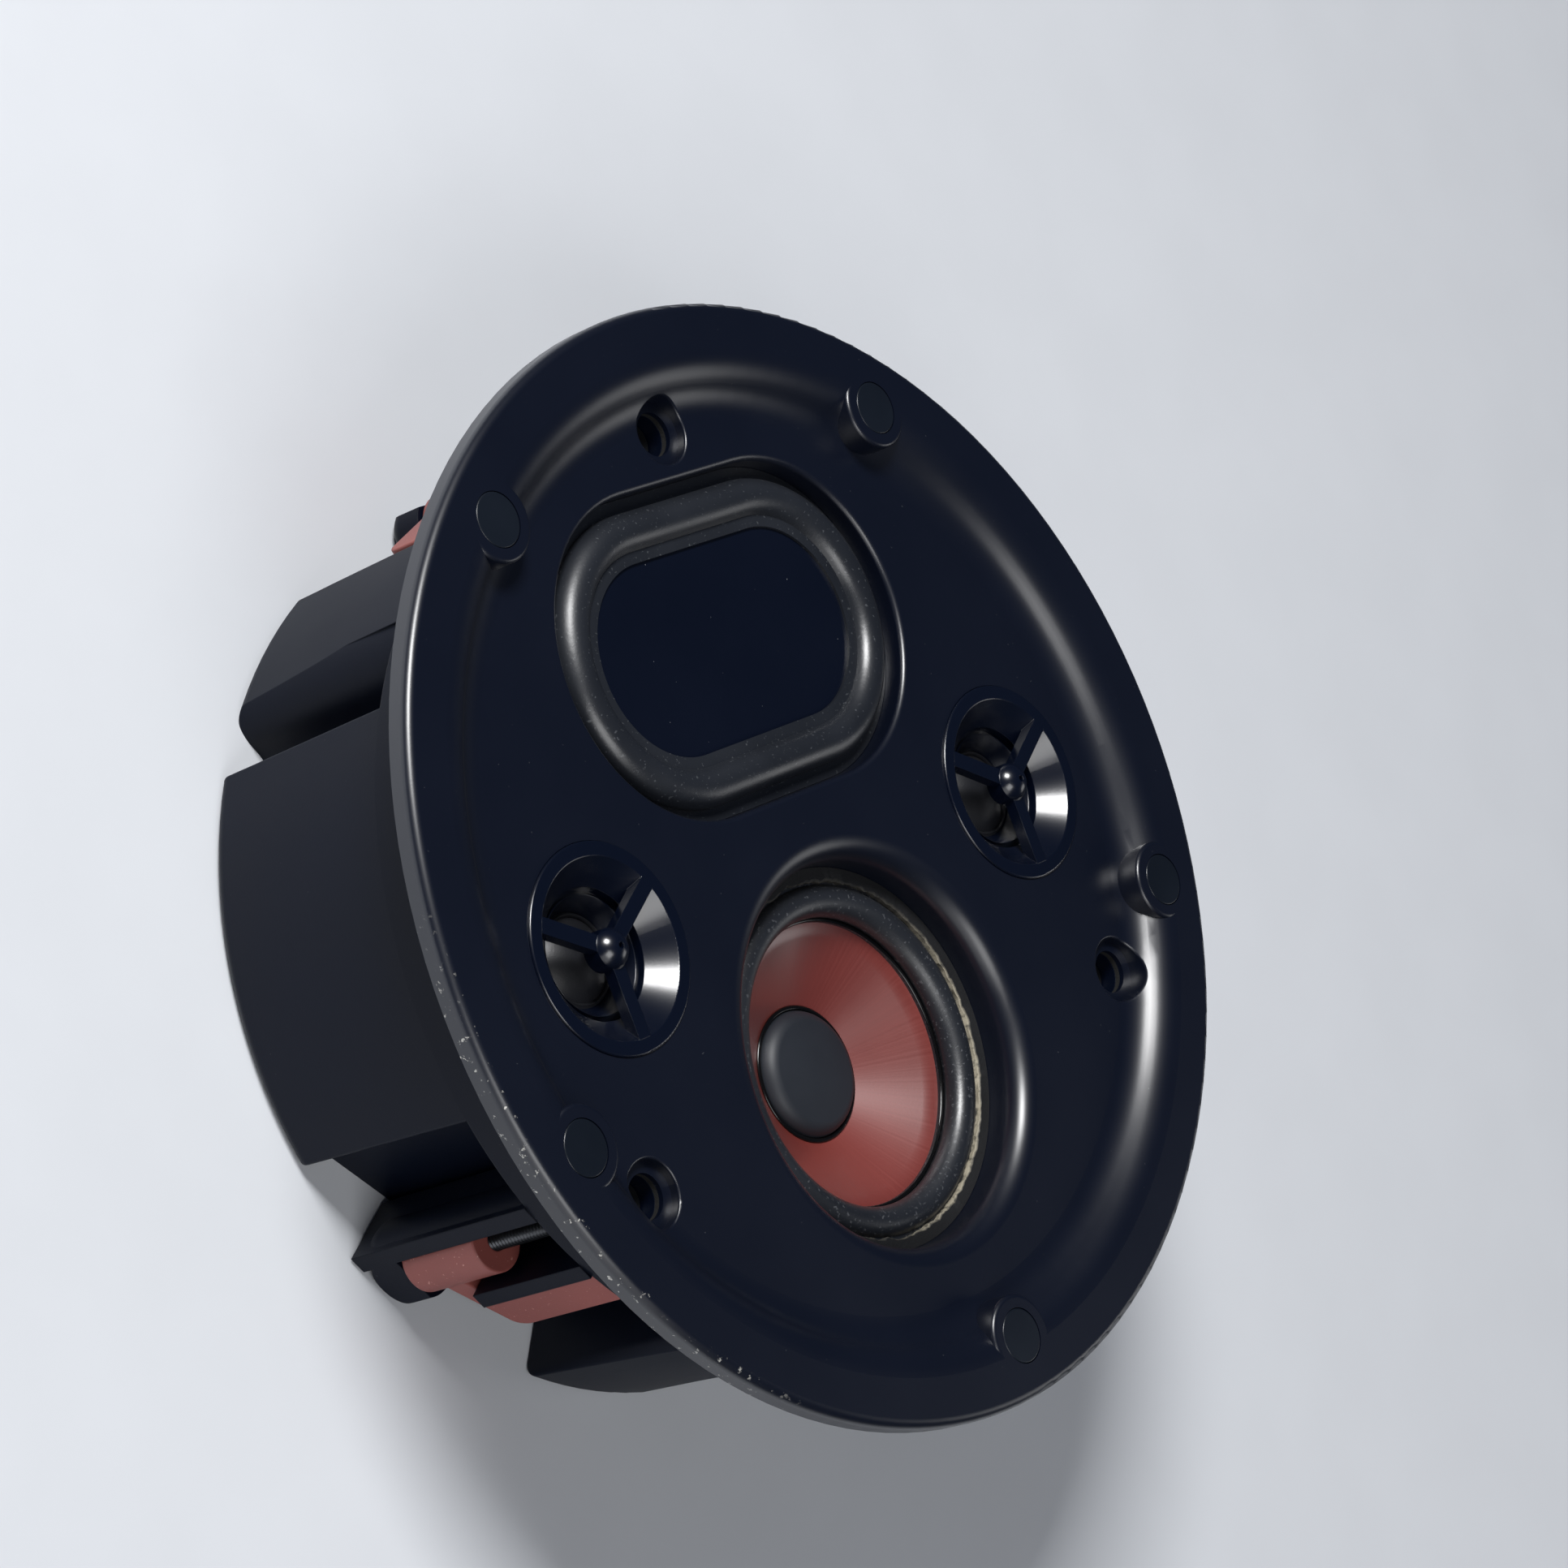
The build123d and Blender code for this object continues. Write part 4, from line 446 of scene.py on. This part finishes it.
class SPEAKER_OT_front_frame(bpy.types.Operator):
    """Front frame with its flange, slope and baffle, and the grille magnets in it"""

    bl_idname = "speaker.front_frame"
    bl_label = "Front frame"

    def execute(self, context):
        sizes, colours = context.scene.speaker_sizes, context.scene.speaker_colours
        # Injection-moulded ABS: deep black with a fine satin grain, chipped where it was handled; its navy
        # tint is a painted reflection of a blue surround
        abs_plastic = finish(
            "satin_abs", colours.plastic, roughness=0.34, grain=0.35, relief=0.004, uneven=0.04, **GLOSSY
        )
        flecked(abs_plastic, linear("#3A3D42"), size=0.9, share=0.06)
        scuffed(abs_plastic, colours.chip, FLANGE_TOP.x - SCUFF_WIDE, SCUFF_WAY)
        bm = self.skin()
        self.evened(bm)
        moulding = piece_from(bm, "front_moulding", abs_plastic, "housing", "frame_plastic", "baffle_frame")
        self.shaded(moulding)
        # Coated magnets: dark and a little duller than the frame, with a bright turned edge
        coating = finish(
            "coated_ferrite_magnet", colours.magnet,
            roughness=0.34, grain=0.6, relief=0.004, edge=sizes.small_edge,
        )
        paint("grille_magnets", coating)
        return {"FINISHED"}

    def skin(self):
        """Bmesh of the frame with its loose triangles joined and its own normals kept beside them."""
        mesh = NODES["baffle_frame"].data
        bm = bmesh.new()
        bm.from_mesh(mesh)
        kept = bm.loops.layers.float_vector.new("kept_normal")
        for face, polygon in zip(bm.faces, mesh.polygons):
            for loop, n in zip(face.loops, polygon.loop_indices):
                loop[kept] = mesh.corner_normals[n].vector
        bmesh.ops.remove_doubles(bm, verts=bm.verts, dist=MERGE)
        return bm

    def evened(self, bm):
        """Draws the short flat beside the woofer's mouth in to the mouth's round edge."""
        axis = middle("woofer_cone")
        outer, inner = [], []
        for vertex in bm.verts:
            if vertex.co.x > axis.x and abs(axis.y - FLAT_RUN - vertex.co.y) < FLAT_SLACK:
                out, rise, _ = across(vertex.co, axis, *WOOFER_EDGE[:4])
                if rise < 1 + EDGE_PAST:
                    gap = out + math.sqrt(max(0.0, 1 - max(0.0, rise) ** 2))
                    if abs(gap) < FLAT_LINE:
                        inner.append(vertex)
                    elif 0 < gap < FLAT_DEEP:
                        outer.append(vertex)
        if inner:
            nearest = {v: min(inner, key=lambda other: (other.co - v.co).length) for v in outer}
            bmesh.ops.weld_verts(bm, targetmap=nearest)

    def shaded(self, piece):
        """Gives the frame its kept normals, with exact ones on its round edges."""
        mesh = piece.data
        normals = [each.vector.copy() for each in mesh.attributes["kept_normal"].data]
        mesh.attributes.remove(mesh.attributes["kept_normal"])
        edges = (
            (middle("woofer_cone"), WOOFER_EDGE),
            (middle("passive_surround"), PASSIVE_EDGE),
            (middle("baffle_frame"), FLANGE_EDGE),
        )
        exact = {}
        for vertex in mesh.vertices:
            for centre, (*edge, side) in edges:
                out, rise, way = across(vertex.co, centre, *edge)
                near = abs(math.hypot(out, rise) - 1) < EDGE_NEAR
                if near and min(rise, out * side) > -EDGE_PAST:
                    exact[vertex.index] = (way * out + Vector((0, 0, rise))).normalized()
        for corner in mesh.loops:
            normals[corner.index] = exact.get(corner.vertex_index, normals[corner.index])
        mesh.polygons.foreach_set("use_smooth", [True] * len(mesh.polygons))
        mesh.normals_split_custom_set(normals)


class SPEAKER_OT_back_can(bpy.types.Operator):
    """Back can with its clamp towers, its seal and its screws"""

    bl_idname = "speaker.back_can"
    bl_label = "Back can"

    def execute(self, context):
        sizes, colours = context.scene.speaker_sizes, context.scene.speaker_colours
        # ABS from an etched tool: duller than the front, so the drum shows broad grey light; its navy tint
        # is a painted reflection of a dark blue surround
        etched = finish(
            "etched_abs", colours.can,
            roughness=0.46, grain=0.5, relief=0.012, uneven=0.06, edge=sizes.can_edge, **DULL,
        )
        flecked(etched, linear("#34373B"), size=1.1, share=0.05)
        paint("back_can", etched)
        # Closed-cell foam: matt, with small pores that the cut has opened
        foam = finish("closed_cell_foam", linear("#141414"), roughness=0.85, grain=0.7, relief=0.12)
        paint("can_gasket", foam)
        paint("can_screws", zinc_plate())
        return {"FINISHED"}


class SPEAKER_OT_clamps(bpy.types.Operator):
    """Swing-out clamps and the threaded screws that draw them in"""

    bl_idname = "speaker.clamps"
    bl_label = "Clamps"

    def execute(self, context):
        sizes, colours = context.scene.speaker_sizes, context.scene.speaker_colours
        # Glass-filled nylon: dull pinkish brown with pale fibre ends at the skin
        nylon = finish(
            "glass_filled_nylon", colours.nylon,
            roughness=0.5, grain=0.5, relief=0.02, uneven=0.12, edge=sizes.clamp_edge,
        )
        flecked(nylon, linear("#B98178"), size=0.7, share=0.3)
        # Blackened steel: dark, oily satin
        steel = finish(
            "black_oxide_steel", colours.screw, roughness=0.32, grain=0.3, relief=0.01, metallic=0.8
        )
        for n in CLAMPS:
            paint(f"clamp_{n}", nylon)
            self.screw(n, steel, sizes)
        return {"FINISHED"}

    def screw(self, n, steel, sizes):
        """Screw with its CAD head and a cut thread down to its tip."""
        node = f"clamp_screw_{n}"
        low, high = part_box(node)
        axis = middle(node)
        bm = copied(node)
        seat = high.z - SCREW_HEAD
        everything = bm.verts[:] + bm.edges[:] + bm.faces[:]
        bmesh.ops.bisect_plane(
            bm, geom=everything, plane_co=(0, 0, seat), plane_no=(0, 0, 1), clear_inner=True
        )
        bmesh.ops.holes_fill(bm, edges=[e for e in bm.edges if e.is_boundary])
        turns = int((seat - low.z) / sizes.thread_pitch)
        points = [
            (SCREW_R - sizes.thread_depth, 0.0),
            (SCREW_R, CREST[0] * sizes.thread_pitch),
            (SCREW_R, CREST[1] * sizes.thread_pitch),
            (SCREW_R - sizes.thread_depth, sizes.thread_pitch),
        ]
        verts = [bm.verts.new((axis.x + r, axis.y, low.z + z)) for r, z in points]
        edges = [bm.edges.new(pair) for pair in zip(verts, verts[1:])]
        bmesh.ops.spin(
            bm,
            geom=verts + edges,
            cent=axis,
            axis=(0, 0, 1),
            dvec=(0, 0, sizes.thread_pitch / THREAD_STEPS),
            angle=2 * math.pi * (turns - 1),
            steps=THREAD_STEPS * (turns - 1),
        )
        bmesh.ops.remove_doubles(bm, verts=bm.verts, dist=MERGE)
        bmesh.ops.holes_fill(bm, edges=[e for e in bm.edges if e.is_boundary])
        bmesh.ops.recalc_face_normals(bm, faces=bm.faces)
        piece = piece_from(bm, f"threaded_screw_{n}", steel, f"clamp_bolt_{n}", "black_screw", node)
        smoothed(piece, CRISP)


class SPEAKER_OT_woofer(bpy.types.Operator):
    """Woofer with its cone, cap, rubber surround and torn card gasket"""

    bl_idname = "speaker.woofer"
    bl_label = "Woofer"

    def execute(self, context):
        sizes, colours = context.scene.speaker_sizes, context.scene.speaker_colours
        axis = middle("woofer_cone")
        # Rubber: matt, with pale talc and filler in its skin
        rubber = finish("butyl_rubber", colours.rubber, roughness=0.4, grain=0.6, relief=0.025, **GLOSSY)
        flecked(rubber, linear("#4A4C50"), size=0.7, share=0.5)
        roll = piece_from(
            copied("woofer_surround"), "woofer_roll", rubber, None, "surround_rubber", "woofer_surround"
        )
        smoothed(roll, SOFT)
        flexing(roll, "woofer_piston", axis, *WOOFER_ROLL)
        # Coated polypropylene: brick red, glossy enough for a streaky soft highlight
        red = finish(
            "coated_polypropylene", colours.cone,
            roughness=0.42, grain=0.5, relief=0.006, uneven=0.1, **COATED,
        )
        streaked(red, axis, count=STREAKS, depth=0.03)
        cone = piece_from(copied("woofer_cone"), "cone", red, "woofer_piston", "cone_red", "woofer_cone")
        smoothed(cone, FIRM)
        # Soft-touch cap: dark slate, dull face with a rounded edge
        slate = finish("soft_touch_cap", colours.cap, roughness=0.5, grain=0.4, relief=0.006)
        cap = piece_from(
            copied("woofer_dust_cap"), "dust_cap", slate, "woofer_piston", "cap_rubber", "woofer_dust_cap"
        )
        smoothed(cap, SOFT)
        # Pressed card with a black face: dull, with pale bare fibres where the inner edge is torn
        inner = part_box("woofer_gasket")[1].x - axis.x - CARD_WIDE
        card = finish("pressed_card", linear("#121316"), roughness=0.7, grain=0.5, relief=0.08, uneven=0.3)
        torn(card, colours.card, axis, FIBRE_WAY)
        self.gasket(axis, card, inner, sizes.fray)
        # Resin-stiffened cloth: dull tan weave, behind the cone
        cloth = finish("resin_cloth", linear("#B39A54"), roughness=0.75, grain=0.5, relief=0.08)
        spider = piece_from(copied("woofer_spider"), "spider", cloth, None, "spider_cloth", "woofer_spider")
        flexing(smoothed(spider, SOFT), "woofer_piston", axis, *SPIDER)
        # Set glue: black and wet-looking, in a bead at each edge of the cone
        glue = finish("black_glue", linear("#0B0B0C"), roughness=0.16, grain=1.5, relief=0.02)
        cone_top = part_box("woofer_cone")[1]
        cap_low, cap_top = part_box("woofer_dust_cap")
        self.bead("rim_bead", glue, axis, cone_top.x - axis.x, cone_top.z, *RIM_BEAD)
        self.bead("cap_bead", glue, axis, cap_top.x - axis.x, cap_low.z, *CAP_BEAD)
        return {"FINISHED"}

    def bead(self, name, glue, axis, edge_r, edge_z, outward, upward, size):
        """Ring of glue with a flattened round section, beside a round edge."""
        radius, height = edge_r + outward, edge_z + upward
        outline = [
            (radius - size, height),
            (radius, height + BEAD_HIGH * size),
            (radius + size, height),
            (radius, height - size),
        ]
        ring = piece_from(lathe(outline, axis), name, glue, "woofer_piston", "cap_rubber")
        rounded(ring, levels=2)

    def gasket(self, axis, card, inner, fray):
        """Flat ring whose inner edge is torn."""
        low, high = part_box("woofer_gasket")
        outer = high.x - axis.x
        outline = [
            (inner, low.z),
            (inner, high.z - CARD_BEVEL[0]),
            (inner + CARD_BEVEL[1], high.z),
            (outer, high.z),
            (outer, low.z),
        ]
        bm = lathe(outline, axis, CARD_STEPS)
        bare = bm.verts.layers.float.new("bare")
        for vertex in bm.verts:
            away = Vector((vertex.co.x - axis.x, vertex.co.y - axis.y, 0))
            if away.length < inner + TEAR_DEEP:
                tear = sum(share * noise.noise(vertex.co / scale) for scale, share in TEAR_SCALES)
                vertex.co += away.normalized() * fray * tear
                vertex[bare] = 1.0 if away.length < inner + BARE_DEEP else 0.0
        smoothed(piece_from(bm, "card_gasket", card, "housing", "gasket_card", "woofer_gasket"), CRISP)


class SPEAKER_OT_passive_radiator(bpy.types.Operator):
    """Passive radiator: rubber roll and flat plate"""

    bl_idname = "speaker.passive_radiator"
    bl_label = "Passive radiator"

    def execute(self, context):
        sizes, colours = context.scene.speaker_sizes, context.scene.speaker_colours
        low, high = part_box("passive_surround")
        centre = (low + high) / 2
        half_wide = (high.y - low.y) / 2
        half_run = (high.x - low.x) / 2 - half_wide
        # Thicker rubber than the woofer's, matt with a faint bloom
        rubber = finish("moulded_rubber", colours.rubber, roughness=0.36, grain=0.6, relief=0.02, **GLOSSY)
        flecked(rubber, linear("#43464A"), size=0.7, share=0.4)
        roll = piece_from(
            copied("passive_surround"), "passive_roll", rubber, None, "surround_rubber", "passive_surround"
        )
        smoothed(roll, SOFT)
        held, free = (half_wide - inset for inset in PASSIVE_ROLL)
        flexing(roll, "passive_piston", centre, held, free, half_run)
        # Moulded plate: the frame's plastic, with its navy tint painted as a reflection, and some dust on it
        plate = finish(
            "plate_abs", colours.plastic,
            roughness=0.34, grain=0.35, relief=0.005, uneven=0.05, edge=sizes.small_edge,
        )
        flecked(plate, linear("#8E9196"), size=0.8, share=0.02)
        paint("passive_plate", plate)
        # Turned steel, the weight behind the plate: bare grey metal with a soft shine
        steel = finish(
            "turned_steel", linear("#8C8C8A"), roughness=0.35, grain=0.3, relief=0.01, metallic=1.0
        )
        paint("passive_weight", steel)
        return {"FINISHED"}


class SPEAKER_OT_tweeters(bpy.types.Operator):
    """Tweeters: horn with three arms and a bullet, silk dome and its suspension"""

    bl_idname = "speaker.tweeters"
    bl_label = "Tweeters"

    def execute(self, context):
        sizes, colours = context.scene.speaker_sizes, context.scene.speaker_colours
        # Polished tool: the horn is glossier than the frame round it; its navy tint is a painted reflection
        # of a blue surround
        horn = finish(
            "horn_abs", colours.plastic,
            roughness=0.23, grain=0.35, relief=0.003, uneven=0.04, edge=sizes.small_edge, **GLOSSY,
        )
        # Doped silk: dark weave under a tacky gloss
        silk = finish("doped_silk", linear("#1B1C20"), roughness=0.4, grain=0.25, relief=0.03)
        for n in TWEETERS:
            paint(f"tweeter_guard_{n}", horn)
            piston = f"tweeter_piston_{n}"
            cap = f"tweeter_dome_{n}"
            dome = piece_from(copied(cap), f"silk_dome_{n}", silk, piston, "dome_cloth", cap)
            smoothed(dome, SOFT)
            ring = f"tweeter_suspension_{n}"
            roll = piece_from(copied(ring), f"silk_roll_{n}", silk, None, "dome_cloth", ring)
            flexing(smoothed(roll, SOFT), piston, middle(ring), *DOME_ROLL)
        return {"FINISHED"}


class SPEAKER_OT_terminals(bpy.types.Operator):
    """Spring terminals in the can's back"""

    bl_idname = "speaker.terminals"
    bl_label = "Terminals"

    def execute(self, context):
        sizes = context.scene.speaker_sizes
        # Moulded ABS in the terminals' own colours: an even satin with soft edges
        black = finish(
            "terminal_abs", linear("#131313"), roughness=0.4, grain=0.4, relief=0.006, edge=sizes.small_edge
        )
        paint("terminal_cup", black)
        # Plain brass strip, rolled bright
        brass = finish(
            "rolled_brass", linear("#B08A46"), roughness=0.3, grain=0.3, relief=0.008, metallic=1.0
        )
        keys = (("terminal_push_1", "push_red", "#8C1414"), ("terminal_push_2", "push_black", "#141416"))
        for n, (node, name, code) in enumerate(keys, start=1):
            key = finish(f"{name}_abs", linear(code), roughness=0.35, grain=0.4, relief=0.006)
            paint(node, key)
            paint(f"terminal_contact_{n}", brass)
        paint("terminal_screws", zinc_plate())
        return {"FINISHED"}


class SPEAKER_OT_inside(bpy.types.Operator):
    """Motors, basket and crossover inside the can"""

    bl_idname = "speaker.inside"
    bl_label = "Inside"

    def execute(self, context):
        zinc = zinc_plate()
        # Painted steel: black, with a slight orange peel
        painted = finish("painted_steel", linear("#16161A"), roughness=0.45, grain=0.8, relief=0.03)
        # Fired ferrite: dull grey, ground on its faces
        ferrite = finish("fired_ferrite", linear("#35353A"), roughness=0.6, grain=0.4, relief=0.02)
        # Enamelled copper: warm metal under a clear skin
        copper = finish(
            "enamelled_copper", linear("#A8632F"), roughness=0.3, grain=0.3, relief=0.03, metallic=1.0
        )
        # Nickel plate: bright and even
        nickel = finish(
            "nickel_plate", linear("#B9B7B0"), roughness=0.2, grain=0.3, relief=0.004, metallic=1.0
        )
        # Epoxy glass board: green, smooth, with the weave just felt
        board = finish("epoxy_glass_board", linear("#1F5A2E"), roughness=0.4, grain=0.4, relief=0.008)
        # Shrunk film sleeve: blue and glossy
        sleeve = finish("film_sleeve", linear("#2B3A78"), roughness=0.3, grain=0.6, relief=0.008)
        # Cast cement: pale, dry and rough
        cement = finish("cast_cement", linear("#DAD7CC"), roughness=0.8, grain=0.5, relief=0.05)
        for node, material in (
            ("woofer_basket", painted),
            ("woofer_screws", zinc),
            ("woofer_top_plate", zinc),
            ("woofer_yoke", zinc),
            ("woofer_magnet", ferrite),
            ("woofer_voice_coil", copper),
            ("crossover_board", board),
            ("crossover_inductors", copper),
            ("crossover_capacitors", sleeve),
            ("crossover_resistor", cement),
            ("crossover_screws", zinc),
        ):
            paint(node, material)
        for n in TWEETERS:
            paint(f"tweeter_coil_{n}", copper)
            paint(f"tweeter_front_plate_{n}", zinc)
            paint(f"tweeter_slug_{n}", zinc)
            paint(f"tweeter_pot_{n}", zinc)
            paint(f"tweeter_magnet_{n}", nickel)
        return {"FINISHED"}


class SPEAKER_OT_stage(bpy.types.Operator):
    """Pale floor, soft studio light and the photograph's camera"""

    bl_idname = "speaker.stage"
    bl_label = "Stage"

    def execute(self, context):
        colours = context.scene.speaker_colours
        scene = context.scene
        scene.view_settings.view_transform = "Standard"
        bm = bmesh.new()
        bmesh.ops.create_grid(bm, x_segments=1, y_segments=1, size=FLOOR_HALF)
        mesh = bpy.data.meshes.new("floor")
        bm.to_mesh(mesh)
        bm.free()
        # Painted table top: pale and dull
        matt = finish("table_paint", colours.floor, roughness=0.6, grain=2.0, relief=0.002, uneven=0.01)
        mesh.materials.append(matt)
        floor = bpy.data.objects.new("floor", mesh)
        scene.collection.objects.link(floor)

        world = bpy.data.worlds.new("studio")
        scene.world = world
        world.use_nodes = True
        tree = world.node_tree
        tree.nodes.clear()
        sky = add(tree, "ShaderNodeBackground", {"Color": linear(SKY_COLOUR), "Strength": SKY_STRENGTH})
        add(tree, "ShaderNodeOutputWorld", {"Surface": sky.outputs["Background"]})

        target = middle("baffle_frame")
        for name, light in LIGHTS.items():
            self.lamp(name, target, *light)

        lens = bpy.data.cameras.new("camera")
        lens.lens = CAMERA_LENS
        lens.sensor_width = CAMERA_SENSOR
        lens.shift_x, lens.shift_y = CAMERA_SHIFT
        camera = bpy.data.objects.new("camera", lens)
        camera.location = CAMERA_PLACE
        camera.rotation_euler = [math.radians(angle) for angle in CAMERA_TURN]
        scene.collection.objects.link(camera)
        scene.camera = camera
        return {"FINISHED"}

    def lamp(self, name, target, direction, distance, size, power):
        """Square soft light that looks at the target from a direction."""
        light = bpy.data.lights.new(name, "AREA")
        light.size = size
        light.energy = power
        lamp = bpy.data.objects.new(name, light)
        way = Vector(direction).normalized()
        lamp.location = target + distance * way
        lamp.rotation_euler = way.to_track_quat("Z", "Y").to_euler()
        bpy.context.scene.collection.objects.link(lamp)


OPERATORS = (
    SPEAKER_OT_front_frame,
    SPEAKER_OT_back_can,
    SPEAKER_OT_clamps,
    SPEAKER_OT_woofer,
    SPEAKER_OT_passive_radiator,
    SPEAKER_OT_tweeters,
    SPEAKER_OT_terminals,
    SPEAKER_OT_inside,
    SPEAKER_OT_stage,
)


class SPEAKER_PT_panel(bpy.types.Panel):
    """Lists the speaker's pieces, sizes and colours"""

    bl_idname = "SPEAKER_PT_panel"
    bl_label = "In-ceiling speaker"
    bl_space_type = "VIEW_3D"
    bl_region_type = "UI"
    bl_category = "Speaker"

    def draw(self, context):
        for operator in OPERATORS:
            self.layout.operator(operator.bl_idname)
        for group in (context.scene.speaker_sizes, context.scene.speaker_colours):
            for name in group.__annotations__:
                self.layout.prop(group, name)


CLASSES = (SpeakerSizes, SpeakerColours, *OPERATORS, SPEAKER_PT_panel)


def register():
    for each in CLASSES:
        bpy.utils.register_class(each)
    bpy.types.Scene.speaker_sizes = PointerProperty(type=SpeakerSizes)
    bpy.types.Scene.speaker_colours = PointerProperty(type=SpeakerColours)


def unregister():
    del bpy.types.Scene.speaker_colours
    del bpy.types.Scene.speaker_sizes
    for each in reversed(CLASSES):
        bpy.utils.unregister_class(each)


def main():
    register()
    bpy.ops.speaker.front_frame()
    bpy.ops.speaker.back_can()
    bpy.ops.speaker.clamps()
    bpy.ops.speaker.woofer()
    bpy.ops.speaker.passive_radiator()
    bpy.ops.speaker.tweeters()
    bpy.ops.speaker.terminals()
    bpy.ops.speaker.inside()
    bpy.ops.speaker.stage()


if __name__ == "__main__":
    main()
